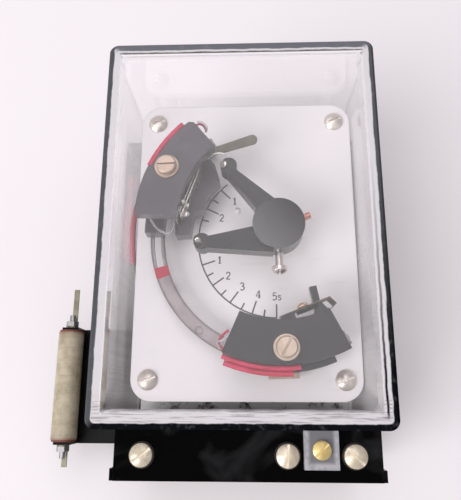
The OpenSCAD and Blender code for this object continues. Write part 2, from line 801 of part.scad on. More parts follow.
module second_wheel() {
    color("#caa64c") at_axis(second_z) translate(second_at) difference() {
        union() {
            rotate([0, 0, escape_dir]) gear(second_teeth, fine_mod, wheel_t);
            translate([0, 0, -1.5]) cylinder(r = 4, h = wheel_t + 1.5);
        }
        translate([0, 0, -2]) cylinder(r = arbor_r + hold_fit, h = wheel_t + 4);
        for (a = [0 : 90 : 270]) rotate([0, 0, a]) translate([8.6, 0, -1]) cylinder(r = 3.4, h = wheel_t + 2);
    }
}

module second_arbor() {
    color("#b9b9bb") at_axis() translate(second_at) {
        arbor();
        translate([0, 0, main_z - 1]) rotate([0, 0, second_dir + 180 / pinion_teeth])
            gear(pinion_teeth, main_mod, wheel_t + 2);
    }
}

module escape_wheel() {
    teeth = 15;
    color("#caa64c") at_axis(escape_z) translate(escape_at) difference() {
        union() {
            linear_extrude(wheel_t) polygon([for (i = [0 : teeth - 1]) for (p = [
                polar(escape_r - 3, i * 24 - 6), polar(escape_r - 0.1, i * 24 + 5),
                polar(escape_r, i * 24 + 8), polar(escape_r - 2.6, i * 24 + 9)]) p]);
            translate([0, 0, -1.5]) cylinder(r = 3, h = wheel_t + 1.5);
        }
        translate([0, 0, -2]) cylinder(r = arbor_r + hold_fit, h = wheel_t + 4);
    }
}

module escape_arbor() {
    color("#b9b9bb") at_axis() translate(escape_at) {
        arbor();
        translate([0, 0, second_z - 1]) rotate([0, 0, escape_dir + 180 / pinion_teeth])
            gear(pinion_teeth, fine_mod, wheel_t + 2);
    }
}

module pallet() {
    bar_l = 24;
    pin_r = 1;
    color("#c4a255") at_axis(escape_z - 1.6) translate(pallet_at) difference() {
        union() {
            rotate([0, 0, pallet_dir + 180]) for (side = [-1, 1]) rotate([0, 0, side * 54]) {
                translate([0, -pin_r, 0]) cube([6.5, 2 * pin_r, 1.4]);
                translate([6.5, 0, 0]) cylinder(r = pin_r, h = wheel_t + 1.8);
            }
            rotate([0, 0, pallet_dir + 90]) {
                translate([-bar_l / 2, -1.2, -7]) cube([bar_l, 2.4, 1.6]);
                for (side = [-1, 1])
                    translate([side * (bar_l / 2 - 2), 0, -9]) cylinder(r = 3, h = 5);
            }
            translate([0, 0, -9]) cylinder(r = 2.6, h = wheel_t + 10.6);
        }
        translate([0, 0, -10]) cylinder(r = arbor_r + hold_fit, h = wheel_t + 14);
    }
}

module pallet_arbor() {
    color("#b9b9bb") at_axis() translate(pallet_at) arbor();
}

module upper_block() {
    color("#232226") difference() {
        at_axis(block_z) linear_extrude(block_t) difference() {
            arc_face(upper_r1, upper_r2, upper_start, upper_end);
            arc_face(upper_r2 - upper_groove, upper_r2 + 2, upper_start - 2, 156);
            translate(polar(upper_r2 - upper_groove, upper_start)) rotate(upper_start - 45)
                translate([-1.3, -6]) square([6, 12]);
        }
        at_polar(upper_screw_at, upper_mid, block_z - 1) cylinder(r = 2 + hold_fit, h = block_t + 2);
    }
}

module upper_foot() {
    color("#1e1d20") difference() {
        union() {
            at_axis(foot_z) linear_extrude(foot_t) union() {
                arc_face(rail_r1 - 0.4, rail_r2 + 1.4, 136, 180.6);
                arc_face(upper_r1 + 1.6, rail_r1 + 1, 131.4, 170);
                polygon([polar(52, 131.6), polar(44.4, 131.6), polar(36.4, 137.5), polar(37.4, 155),
                    polar(35.2, 162.6), polar(40.2, 167.6), polar(40.4, 182.4), polar(47.3, 182.6),
                    polar(52, 160)]);
            }
            at_axis(foot_z + 1) linear_extrude(block_z - foot_z - 1)
                arc_face(upper_r1 + 4.4, upper_r2 - 3, 141, 162);
            at_leaf() translate([-10.5, leaf_t, -1])
                cube([9.5, leaf_pad_t, block_z - foot_top + 1]);
        }
        at_polar(upper_screw_at, upper_mid, block_z - 12) cylinder(r = 2 + hold_fit, h = 13);
        at_polar(rail_mid, upper_mid, foot_z - 1) cylinder(r = stud_r + hold_fit, h = 5);
    }
}

module clamp_washer(at, mid) {
    at_polar(at, mid, block_top) difference() {
        cylinder(r = clamp_washer_r, h = 1);
        translate([0, 0, -1]) cylinder(r = 2 + hold_fit, h = 3);
    }
}

// A plate under the rail with studs up into the foot, at places across the rail
module rail_nut(mid, studs) {
    at_polar(rail_mid, mid, rail_z - slide_gap - 3) {
        translate([min(studs) - 4.4, -7, 0]) cube([max(studs) - min(studs) + 8.8, 14, 3]);
        for (x = studs) translate([x, 0, 0])
            cylinder(r = stud_r, h = 3 + slide_gap + rail_t + slide_gap + 3.8);
    }
}

module upper_clamp_screw() {
    color("#d9c8b0") at_polar(upper_screw_at, upper_mid, block_top + 1)
        rotate([0, 0, -upper_mid])
            slotted_screw(clamp_head_r, 2.6, 2, block_t + 12, 0.8, turn = 2, edge = 0.5);
}

module upper_clamp_washer() {
    color("#cdbfa8") clamp_washer(upper_screw_at, upper_mid);
}

module upper_rail_nut() {
    color("#a8a29a") rail_nut(upper_mid, [0]);
}

// A frame that runs along the upper block's leaf springs
module at_leaf() {
    at_polar(leaf_at, leaf_mid, foot_top) rotate([0, 0, -90]) children();
}

// The long leaf spring and the shorter one beside it, stood on edge on the foot
module upper_leaves() {
    color("#cfcabd") at_leaf() {
        translate([-leaf_low, 0, 0]) cube([leaf_low + leaf_high, leaf_t, leaf_w]);
        translate([-leaf_low + 2, -leaf_pitch, 0])
            cube([leaf_low + leaf_high - 8, leaf_t, leaf_w]);
        for (x = rivet_xs) translate([x, -leaf_pitch, leaf_w / 2])
            rotate([-90, 0, 0]) cylinder(r = 1, h = leaf_pitch + leaf_t);
    }
}

module upper_rivets() {
    color("#e3dccb") at_leaf() for (x = rivet_xs)
        translate([x, -leaf_pitch - 0.7, leaf_w / 2]) rotate([-90, 0, 0])
            cylinder(r = 1.6, h = 0.7);
}

// The strip that reaches over from the block's upper end, with a round tip
module upper_lever() {
    color("#8b8773") at_polar(upper_r1 + 5.7, 129.5, foot_top) rotate([0, 0, 17.9 - 129.5])
        linear_extrude(0.8) {
            polygon([[-6, -1.6], [21.7, -2.5], [21.7, 2.5], [-6, 1.6]]);
            translate([21.7, 0]) circle(r = 2.5);
        }
}

// A sleeved wire round the axis, against an edge of radius r
module sleeve(r, a1, a2, z, thick = sleeve_r) {
    at_axis(z) rotate([0, 0, a1]) rotate_extrude(angle = a2 - a1, $fn = 180)
        translate([r + thick + hold_fit, 0]) circle(r = thick, $fn = 24);
}

module upper_sleeve() {
    color("#c8324e") sleeve(upper_r2 - upper_groove, 133, 155.4, block_top - 2.2, 1.45);
}

module upper_loop() {
    color("#dfe0e0") tube(smooth([[-41, 13.5, block_z - 0.35], [-42, 9.5, 95], [-39.5, 4.2, 91],
        [-34.4, 1.5, 89.6], [-32, 2.8, 89.2], [-31.2, 6, 88.9], [-31.6, 10.5, foot_top + 0.5]], 3),
        0.5, 8);
}

module lower_block() {
    color("#242327") difference() {
        union() {
            arc_bar(lower_r1, lower_r2, lower_start, lower_end, block_z, block_t);
            at_axis(block_z) linear_extrude(block_t) polygon([
                polar(46, 287), polar(43, 288.2), polar(39.8, 294.4), polar(46, 297.1)]);
        }
        at_polar(lower_screw_at, lower_mid, block_z - 1) cylinder(r = 2 + hold_fit, h = block_t + 2);
    }
}

module lower_foot() {
    color("#1e1d20") difference() {
        union() {
            at_axis(foot_z) linear_extrude(foot_t) union() {
                arc_face(rail_r1 - 4, rail_r2 + 4, 249, 292.5);
                arc_face(lower_r1 + 0.6, rail_r1 + 1, 272, 299);
            }
            at_axis(foot_z + 1) linear_extrude(block_z - foot_z - 1)
                arc_face(lower_r1 + 4, lower_r2 - 3.4, 262, 282);
            at_axis(foot_z + 3) translate(polar(30.2, 300.5)) rotate([0, 0, 281])
                translate([0, -1.6, 0]) cube([20, 3.2, 4.2]);
            at_lower_leaf() translate([0, -lower_pad_t, -foot_t + 0.5])
                cube([6, lower_pad_t, block_z - foot_z - 0.5]);
        }
        at_polar(lower_screw_at, lower_mid, block_z - 12) cylinder(r = 2 + hold_fit, h = 13);
        for (side = [-1, 1]) at_polar(rail_mid + side * stud_out, lower_mid, foot_z - 1)
            cylinder(r = stud_r + hold_fit, h = 5);
    }
}

module lower_clamp_screw() {
    color("#d0bcb2") at_polar(lower_screw_at, lower_mid, block_top + 1)
        rotate([0, 0, -lower_mid])
            slotted_screw(clamp_head_r, 2.6, 2, block_t + 12, 0.8, turn = 62, edge = 0.5);
}

module lower_clamp_washer() {
    color("#c5b6ad") clamp_washer(lower_screw_at, lower_mid);
}

module lower_rail_nut() {
    color("#a8a29a") rail_nut(lower_mid, [-stud_out, stud_out]);
}

// A frame that runs along the lower block's leaf spring
module at_lower_leaf() {
    at_polar(lower_leaf_at, lower_leaf_mid, foot_top) rotate([0, 0, 96])
        translate([-lower_leaf_l / 2, 0, 0]) children();
}

// The leaf stood on edge, bent back at its free end
module lower_leaf() {
    color("#6f675c") at_lower_leaf() {
        cube([lower_leaf_l, leaf_t, leaf_w - 1]);
        translate([lower_leaf_l - 0.2, leaf_t, 0]) rotate([0, 0, -67]) {
            translate([0, -leaf_t, 0]) cube([4.2, leaf_t, leaf_w - 1]);
            translate([3.8, -2.4, 3]) cube([0.4, 2.4, leaf_w - 5]);
        }
    }
}

module lower_contact() {
    color("#c99a5b") at_lower_leaf() translate([11, leaf_t, leaf_w - 3.6]) rotate([-90, 0, 0])
        cylinder(r = 1.9, h = 0.9);
}

module lower_sleeve() {
    color("#c8324e") {
        sleeve(lower_r2, 247, 277, block_z + 2.6);
        sleeve(lower_r2 + 2 * sleeve_r + hold_fit, 248.5, 274, block_z + 2);
    }
}

// A bent steel yoke with the fixed pole that the plunger is drawn to
module yoke() {
    color("#9c9ea1") difference() {
        union() {
            translate([coil_x - yoke_w / 2, yoke_bottom, frame_in]) {
                cube([yoke_w, yoke_l, yoke_base_t]);
                cube([yoke_w, yoke_t, frame_gap - 3]);
                translate([0, yoke_l - yoke_t, 0]) cube([yoke_w, yoke_t, frame_gap - 3]);
            }
            translate([coil_x, yoke_bottom + yoke_t - 0.1, coil_z]) rotate([-90, 0, 0]) {
                cylinder(r = plunger_r, h = 2.1);
                cylinder(r = stem_r, h = 8.1);
            }
        }
        translate([coil_x, yoke_top - yoke_t - 1, coil_z]) rotate([-90, 0, 0])
            cylinder(r = plunger_r + run_fit, h = yoke_t + 2);
    }
}

module bobbin() {
    l = yoke_l - 2 * yoke_t;
    color("#3b3030") translate([coil_x, yoke_bottom + yoke_t, coil_z]) rotate([-90, 0, 0])
        difference() {
            union() {
                cylinder(r = plunger_r + clear_gap + bobbin_wall, h = l);
                cylinder(r = flange_r, h = 1.6);
                translate([0, 0, l - 1.6]) cylinder(r = flange_r, h = 1.6);
            }
            translate([0, 0, -1]) cylinder(r = plunger_r + clear_gap, h = l + 2);
        }
}

module coil_winding() {
    l = yoke_l - 2 * yoke_t - 3.2;
    color("#a84a4c") translate([coil_x, yoke_bottom + yoke_t + 1.6, coil_z]) rotate([-90, 0, 0])
        difference() {
            cylinder(r = flange_r - coil_inset, h = l);
            translate([0, 0, -1]) cylinder(r = plunger_r + clear_gap + bobbin_wall + hold_fit, h = l + 2);
        }
}

// The plunger, with a thin stem that the return spring sits on
module plunger() {
    color("#b4b5b8") translate([coil_x, 0, coil_z]) rotate([-90, 0, 0]) {
        translate([0, 0, plunger_low]) cylinder(r = stem_r, h = stem_l);
        translate([0, 0, plunger_low + stem_l])
            cylinder(r = plunger_r, h = plunger_top - plunger_low - stem_l);
        translate([0, 0, plunger_top - plunger_head_t])
            cylinder(r = plunger_head_r, h = plunger_head_t);
    }
}

module return_spring() {
    to = plunger_low + stem_l - spring_wire_r - 0.1;
    from = yoke_bottom + yoke_t + 2 + plunger_stroke + spring_wire_r + 0.4;
    turns = 6;
    per_turn = 10;
    coil = stem_r + clear_gap + spring_wire_r;
    color("#c9c9cc") tube([for (i = [0 : turns * per_turn])
        [coil_x + coil * cos(360 * i / per_turn), from + (to - from) * i / (turns * per_turn),
            coil_z + coil * sin(360 * i / per_turn)]], spring_wire_r, 6, [1, 0.1, 0.2]);
}

module at_tube() {
    translate([tube_x, tube_y, tube_z]) rotate([-90, 0, 0]) children();
}

module resistor_tube() {
    color("#9c957c") at_tube() difference() {
        translate([0, 0, -tube_l / 2]) cylinder(r = tube_r, h = tube_l);
        translate([0, 0, -tube_l / 2 - 1]) cylinder(r = 3, h = tube_l + 2);
    }
}

module resistor_washers() {
    color("#8a5545") at_tube() for (side = [-1, 1]) {
        translate([0, 0, side * (tube_l / 2 + 0.5) - 0.5]) difference() {
            cylinder(r = tube_r - 0.4, h = 1);
            translate([0, 0, -1]) cylinder(r = 1.6 + hold_fit, h = 3);
        }
    }
}

// A folded steel bracket: a flange on the base's side, a shelf and an ear at each end
module resistor_bracket() {
    ear_w = 9;
    reach = -case_w / 2 - tube_x + ear_w / 2;
    color("#161517") difference() {
        translate([tube_x - ear_w / 2, tube_y - bracket_half, bracket_z]) {
            cube([reach, 2 * bracket_half, bracket_t]);
            translate([reach - bracket_t, 6, -bracket_z + 4])
                cube([bracket_t, 2 * bracket_half - 12, bracket_z - 4 + bracket_t]);
            for (y = [0, 2 * bracket_half - bracket_t]) translate([0, y, 0])
                cube([ear_w, bracket_t, tube_r + 7]);
        }
        translate([tube_x, tube_y, tube_z]) rotate([90, 0, 0])
            cylinder(r = 1.6 + hold_fit, h = 2 * tube_l, center = true);
        at_bracket_screws() translate([0, 0, -1]) cylinder(r = 1.7, h = bracket_t + 2);
    }
}

// The two screws that hold the bracket's flange, seen along the screw
module at_bracket_screws() {
    for (y = [-1, 1]) translate([-case_w / 2, tube_y + y * (bracket_half - 14), base_t / 2])
        rotate([0, -90, 0]) children();
}

module resistor_stud() {
    l = 2 * (bracket_half + tab_t + 6);
    color("#a9a88f") at_tube() {
        translate([0, 0, -l / 2]) cylinder(r = 1.6, h = l);
        for (side = [0, 1]) mirror([0, 0, side]) translate([0, 0, bracket_half + tab_t])
            cylinder(r = 3.4, h = 2.6, $fn = 6);
    }
}

// A solder tab at each end: an eye under the nut and a strip bent out behind it
module resistor_tabs() {
    color("#b3b08e") translate([tube_x, tube_y, tube_z]) for (side = [0, 1]) mirror([0, side, 0]) {
        difference() {
            union() {
                translate([0, bracket_half + tab_t, 0]) rotate([90, 0, 0]) cylinder(r = 3.2, h = tab_t);
                translate([-1.4, bracket_half, -4.4]) cube([2.8, tab_t, 3]);
            }
            translate([0, bracket_half + tab_t + 1, 0]) rotate([90, 0, 0])
                cylinder(r = 1.6 + hold_fit, h = tab_t + 2);
        }
        translate([-1.4, bracket_half, -4.4]) cube([2.8, side == 0 ? 22 : 11.5, tab_t]);
    }
}

// Two sleeved wires that run up the left wall between holes in the base
module internal_leads() {
    lead_x = -case_w / 2 + cover_wall + 1.7;
    color("#b8324a") for (k = [0 : 1])
        tube(smooth([[lead_x + 4.4, -70 + 3 * k, base_top + 0.2], [lead_x + 4.2, -70 + 3 * k, 40],
            [lead_x + 3.6, -52, 46 + 2.6 * k], [lead_x + 2, -24, 54 + 2.6 * k], [lead_x, -5, 65 + 2.6 * k],
            [lead_x, 10, 69 + 2.6 * k], [lead_x + 0.3, 23, 65 + 2.4 * k], [lead_x + 3, 36, 54 + 2 * k],
            [lead_x + 6, 46, 44 + k], [lead_x + 7, 50 + 3 * k, 36],
            [lead_x + 7, 50 + 3 * k, base_top + 0.2]], 3), 1.1, 8);
}

base();
gasket();
cover_screw();
terminal_screws();
terminal_washers();
dial_plate();
dial_posts();
dial_screws();
frame_rear();
frame_front();
frame_pillars();
small_screws();
arc_rail();
rail_posts();
contact_carrier();
carrier_contacts();
carrier_set_screw();
carrier_clamp_screw();
main_shaft();
main_wheel();
main_pinion();
mainspring_drum();
sector_gear();
sector_arbor();
second_wheel();
second_arbor();
escape_wheel();
escape_arbor();
pallet();
pallet_arbor();
upper_block();
upper_foot();
upper_clamp_screw();
upper_clamp_washer();
upper_rail_nut();
upper_leaves();
upper_rivets();
upper_lever();
upper_sleeve();
upper_loop();
lower_block();
lower_foot();
lower_clamp_screw();
lower_clamp_washer();
lower_rail_nut();
lower_leaf();
lower_contact();
lower_sleeve();
yoke();
bobbin();
coil_winding();
plunger();
return_spring();
resistor_tube();
resistor_stud();
resistor_washers();
resistor_tabs();
resistor_bracket();
internal_leads();
cover();
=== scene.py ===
"""Looks of a clockwork time relay under a clear cover, in metres, in the frame of its solids."""
import json
import math

import bpy
from mathutils import Matrix, Vector


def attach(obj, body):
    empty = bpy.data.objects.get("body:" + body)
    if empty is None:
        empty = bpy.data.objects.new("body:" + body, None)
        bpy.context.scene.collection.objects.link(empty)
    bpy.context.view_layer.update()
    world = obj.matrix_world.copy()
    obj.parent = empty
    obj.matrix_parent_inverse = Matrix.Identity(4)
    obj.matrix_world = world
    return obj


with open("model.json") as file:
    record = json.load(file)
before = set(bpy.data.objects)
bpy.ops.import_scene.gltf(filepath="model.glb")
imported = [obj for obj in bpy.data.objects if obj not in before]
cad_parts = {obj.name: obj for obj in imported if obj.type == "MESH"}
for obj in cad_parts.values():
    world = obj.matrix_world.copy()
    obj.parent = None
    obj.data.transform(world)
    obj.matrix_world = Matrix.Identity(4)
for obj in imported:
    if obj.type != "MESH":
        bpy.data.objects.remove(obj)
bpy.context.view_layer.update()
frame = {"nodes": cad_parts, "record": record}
nodes = frame["nodes"]

MM = 0.001

# Places on the relay in mm.
AXIS = (16.6, 3.4)
DIAL_Z = 70.5
RAIL_R = 57.0
RAIL_TOP = 79.2
COVER_HALF_W, COVER_HALF_H, COVER_CORNER, COVER_TOP = 59.0, 83.0, 4.0, 118.0
COVER_FOOT = 30.0
LUG_X = 34.2
LUG_TIP_Y = -99.2
RESISTOR_Y = -64.6
UPPER_CLAMP, LOWER_CLAMP = (-32.98, 28.12), (18.42, -51.47)
# Where the painted reflection on the base begins, just inside the cover's lower wall.
BASE_REFLECTION_FROM_Y = -82.6
LEAD_JOIN_Y = -6.0
WINDING_PITCH = 0.5

# How much of the lamps' and the soft light passes through each surface of the cover.
WALL_CLEAR, TOP_CLEAR = 0.84, 0.99


def linear(r, g, b):
    """An 8-bit screen colour as linear light."""
    def one(v):
        v /= 255
        return v / 12.92 if v <= 0.04045 else ((v + 0.055) / 1.055) ** 2.4
    return one(r), one(g), one(b), 1.0


# Materials.

class Finish:
    """A material with one Principled shader and a few helpers to drive it by procedural patterns."""

    def __init__(self, name, colour, roughness=0.5, metallic=0.0, specular=0.5):
        self.material = bpy.data.materials.new(name)
        self.material.use_nodes = True
        self.tree = self.material.node_tree
        self.tree.nodes.clear()
        self.out = self.add("ShaderNodeOutputMaterial")
        self.shader = self.add("ShaderNodeBsdfPrincipled")
        self.link(self.shader.outputs[0], self.out.inputs["Surface"])
        self.set("Base Color", colour)
        self.set("Roughness", roughness)
        self.set("Metallic", metallic)
        self.set("Specular IOR Level", specular)
        self.place = self.add("ShaderNodeTexCoord").outputs["Object"]
        self.normal = None

    def add(self, kind, **values):
        node = self.tree.nodes.new(kind)
        for key, value in values.items():
            setattr(node, key, value)
        return node

    def link(self, source, target):
        self.tree.links.new(source, target)

    def set(self, socket, value):
        self.shader.inputs[socket].default_value = value

    def drive(self, socket, source):
        self.link(source, self.shader.inputs[socket])

    def put(self, target, value):
        """A number or another node's output into an input."""
        if isinstance(value, bpy.types.NodeSocket):
            self.link(value, target)
        else:
            target.default_value = value

    def math(self, operation, a, b=0.0, c=0.0):
        node = self.add("ShaderNodeMath", operation=operation)
        for target, value in zip(node.inputs, (a, b, c)):
            self.put(target, value)
        return node.outputs[0]

    def split(self, vector=None):
        node = self.add("ShaderNodeSeparateXYZ")
        self.link(vector or self.place, node.inputs[0])
        return node.outputs[0], node.outputs[1], node.outputs[2]

    def join(self, x, y, z):
        node = self.add("ShaderNodeCombineXYZ")
        for target, value in zip(node.inputs, (x, y, z)):
            self.put(target, value)
        return node.outputs[0]

    def noise(self, scale, detail=3.0, roughness=0.55, at=None, distortion=0.0):
        node = self.add("ShaderNodeTexNoise")
        self.link(at or self.place, node.inputs["Vector"])
        node.inputs["Scale"].default_value = scale
        node.inputs["Detail"].default_value = detail
        node.inputs["Roughness"].default_value = roughness
        node.inputs["Distortion"].default_value = distortion
        return node.outputs["Fac"]

    def upward(self):
        """How far the true surface faces up, from -1 to 1."""
        return self.split(self.add("ShaderNodeNewGeometry").outputs["True Normal"])[2]

    def stretched(self, x, y, z):
        node = self.add("ShaderNodeMapping")
        self.link(self.place, node.inputs["Vector"])
        node.inputs["Scale"].default_value = (x, y, z)
        return node.outputs[0]

    def span(self, value, low, high, to_low, to_high):
        node = self.add("ShaderNodeMapRange")
        self.link(value, node.inputs["Value"])
        for key, number in (("From Min", low), ("From Max", high), ("To Min", to_low), ("To Max", to_high)):
            node.inputs[key].default_value = number
        return node.outputs[0]

    def ramp(self, value, stops):
        """Colour and alpha of a ramp through (position, colour) stops."""
        node = self.add("ShaderNodeValToRGB")
        self.link(value, node.inputs[0])
        elements = node.color_ramp.elements
        elements[0].position, elements[0].color = stops[0]
        elements[1].position, elements[1].color = stops[-1]
        for position, colour in stops[1:-1]:
            elements.new(position).color = colour
        return node.outputs

    def mix(self, factor, a, b):
        node = self.add("ShaderNodeMix", data_type="RGBA")
        self.put(node.inputs[0], factor)
        self.put(node.inputs[6], a)
        self.put(node.inputs[7], b)
        return node.outputs[2]

    def bump(self, height, distance, strength=1.0):
        node = self.add("ShaderNodeBump")
        node.inputs["Strength"].default_value = strength
        node.inputs["Distance"].default_value = distance
        self.link(height, node.inputs["Height"])
        if self.normal is not None:
            self.link(self.normal, node.inputs["Normal"])
        self.normal = node.outputs[0]
        self.drive("Normal", self.normal)

    def soft_edges(self, radius):
        """Shades sharp edges as if rounded, and returns how near an edge a point is."""
        bevel = self.add("ShaderNodeBevel", samples=4)
        bevel.inputs["Radius"].default_value = radius
        geometry = self.add("ShaderNodeNewGeometry")
        dot = self.add("ShaderNodeVectorMath", operation="DOT_PRODUCT")
        self.link(bevel.outputs[0], dot.inputs[0])
        self.link(geometry.outputs["True Normal"], dot.inputs[1])
        self.normal = bevel.outputs[0]
        self.drive("Normal", self.normal)
        return self.span(dot.outputs["Value"], 1.0, 0.86, 0.0, 1.0)

    def around(self, x, y):
        """Radius and angle about an axis along Z through (x, y), in metres and turns."""
        px, py, pz = self.split()
        dx = self.math("SUBTRACT", px, x * MM)
        dy = self.math("SUBTRACT", py, y * MM)
        squares = self.math("ADD", self.math("MULTIPLY", dx, dx), self.math("MULTIPLY", dy, dy))
        radius = self.math("SQRT", squares)
        angle = self.math("MULTIPLY", self.math("ARCTAN2", dy, dx), 0.5 / math.pi)
        return radius, angle, pz

    def ring_marks(self, x, y):
        """Radius about the axis through (x, y), and a noise drawn out round it."""
        radius, angle, height = self.around(x, y)
        at = self.join(self.math("MULTIPLY", radius, 5200), self.math("MULTIPLY", angle, 5), height)
        return radius, self.noise(1.0, 4, 0.7, at=at)

    def blend(self, weight, low, high):
        """A number between low and high by weight."""
        return self.math("MULTIPLY_ADD", weight, self.math("SUBTRACT", high, low), low)

    def product(self, *factors):
        result = factors[0]
        for factor in factors[1:]:
            result = self.math("MULTIPLY", result, factor)
        return result


def moulding(name, tone, rough, specular, wear, grain=0.00003, tint=(1, 1, 1.08), sheen=None, reflection_from_y=None):
    """Black phenolic moulding: its tops reflect less than its walls, a painted reflection set by which way a
    face looks, with dust along its edges.

    With a sheen given, a painted sheen: the specular level grows across a round top. With a plane of y given,
    a painted reflection: a pale grey layer on upward faces behind it, and pale patches of painted glare all
    over.
    """
    f = Finish(name, tuple(tone * t for t in tint) + (1,))
    near_edge = f.soft_edges(0.0004)
    upward = f.upward()
    # Painted reflection by facing: the specular level is low on faces that look up and higher on the walls.
    gloss = f.span(upward, 0.2, 0.9, specular[1], specular[0])
    x, y, z = f.split()
    # Painted sheen: on the top above that level, the specular level runs from high on the side toward lower x
    # and y to low on the opposite side.
    if sheen:
        level, reach, low, high = sheen
        slant = f.math("ADD", f.math("SUBTRACT", x, AXIS[0] * MM), f.math("SUBTRACT", y, AXIS[1] * MM))
        top = f.product(f.span(z, level - 0.0003, level, 0.0, 1.0), f.span(upward, 0.2, 0.9, 0.0, 1.0))
        gloss = f.blend(top, gloss, f.span(slant, -reach, reach, high, low))
    f.drive("Specular IOR Level", gloss)
    broad = f.noise(45, 4, 0.6)
    fine = f.noise(1400, 3, 0.6)
    specks = f.noise(5200, 2, 0.5)
    dust = f.math("MULTIPLY", near_edge, f.span(f.noise(260, 4, 0.7), 0.38, 0.7, 0.0, 1.0))
    base = f.mix(broad, tuple(0.6 * tone * t for t in tint) + (1,),
                 tuple(1.5 * tone * t for t in tint) + (1,))
    if reflection_from_y:
        # Painted reflection: a pale grey layer on upward faces behind the plane of y, full in the first 12
        # mm, faint farther back, with broken edges.
        base_painted_reflection = f.product(f.span(y, reflection_from_y - 0.0004, reflection_from_y, 0.0, 1.0), f.span(upward, 0.2, 0.9, 0.0, 1.0),
                         f.span(y, reflection_from_y + 0.012, reflection_from_y + 0.02, 1.0, 0.12),
                         f.span(f.noise(95, 4, 0.7), 0.38, 0.5, 0.05, 1.0))
        # Painted glare: soft pale patches on the black.
        base_painted_glare = f.span(f.noise(34, 3, 0.55, distortion=0.6), 0.5, 0.72, 0.0, 1.0)
        base = f.mix(base_painted_glare, base, (0.026, 0.026, 0.028, 1))
        base = f.mix(base_painted_reflection, base, (0.66, 0.65, 0.655, 1))
    pale = (tone + wear, tone + wear * 0.97, tone + wear * 0.95, 1)
    f.drive("Base Color", f.mix(f.math("MULTIPLY", dust, 0.7), base, pale))
    f.drive("Roughness", f.span(f.math("ADD", broad, f.math("MULTIPLY", fine, 0.4)), 0.45, 0.95, *rough))
    f.bump(f.math("ADD", fine, f.math("MULTIPLY", specks, 0.4)), grain, 0.5)
    return f.material


def bright_metal(name, colour, rough=0.3, stain=None, axis=None, edge=0.00025, spread=0.14, metallic=1.0):
    """Plated or turned metal. With an axis the tool marks run round it, otherwise along X."""
    f = Finish(name, colour, rough, metallic)
    f.soft_edges(edge)
    if axis:
        marks = f.ring_marks(*axis)[1]
    else:
        marks = f.noise(1.0, 4, 0.7, at=f.stretched(260, 4200, 4200))
    blotch = f.noise(160, 4, 0.65)
    worn = stain or tuple(c * 0.62 for c in colour[:3]) + (1,)
    f.drive("Base Color", f.mix(f.span(blotch, 0.42, 0.72, 0.0, 0.55), colour, worn))
    f.drive("Roughness", f.span(f.math("ADD", blotch, f.math("MULTIPLY", marks, 0.6)), 0.5, 1.1,
                                rough - spread / 2, rough + spread))
    f.bump(marks, 0.00001, 0.6)
    return f.material


def dial_paint():
    """White enamel, a little uneven, with faint handling marks."""
    f = Finish("dial_enamel", linear(240, 235, 237), 0.42)
    near_edge = f.soft_edges(0.0005)
    broad = f.noise(22, 4, 0.6)
    marks = f.noise(1.0, 4, 0.6, at=f.stretched(60, 420, 200))
    pale, dull = linear(244, 239, 241), linear(236, 230, 233)
    base = f.mix(broad, pale, dull)
    scuffed = f.mix(f.span(marks, 0.6, 0.78, 0.0, 0.35), base, linear(200, 196, 201))
    f.drive("Base Color", f.mix(f.math("MULTIPLY", near_edge, 0.5), scuffed, linear(176, 170, 172)))
    f.drive("Roughness", f.span(marks, 0.3, 0.75, 0.34, 0.56))
    f.bump(f.noise(900, 3, 0.5), 0.00002, 0.4)
    return f.material


def paint(r, g, b, cover=1.0):
    """A diffuse colour that shows as the screen colour r, g, b in this light, with how much it covers."""
    return tuple(0.74 * c for c in linear(r, g, b)[:3]) + (cover,)


# Painted light on the cover's moulded upper edge: tones that stand in for its refraction and reflections, a
# dark or grey rim, and painted white where its inner fillet gathers light.
EDGE_BLACK, EDGE_GREY, EDGE_PALE = paint(20, 22, 26), paint(98, 100, 104), paint(124, 126, 134)
EDGE_WHITE = paint(246, 242, 246)
EDGE_BLUR = 0.4
EDGE_REACH = 8


def painted_edge_bands(rim, turn, inner, end, line=None):
    """Ramp stops of painted refraction and reflection by depth from the outer wall in mm: rim, painted white
    on the fillet, a dark line if it has one, clear.
    """
    stops = [(0.0, rim), (turn, rim), (turn + EDGE_BLUR, EDGE_WHITE)]
    if line:
        line_from, line_to = line
        stops += [(line_from - EDGE_BLUR, EDGE_WHITE), (line_from, EDGE_BLACK), (line_to, EDGE_BLACK)]
    return stops + [(inner, EDGE_WHITE), (end, EDGE_WHITE[:3] + (0.0,))]


PAINTED_EDGE = {
    "left": painted_edge_bands(EDGE_GREY, 2.3, 5.2, 6.3),
    "upper right": painted_edge_bands(EDGE_GREY, 2.3, 4.4, 5.6),
    "lower right": painted_edge_bands(EDGE_BLACK, 2.3, 5.1, 6.2, line=(4.2, 4.7)),
    "top": painted_edge_bands(EDGE_PALE, 3.8, 4.6, 5.2),
    "bottom": painted_edge_bands(EDGE_BLACK, 2.2, 6.2, 7.6),
}


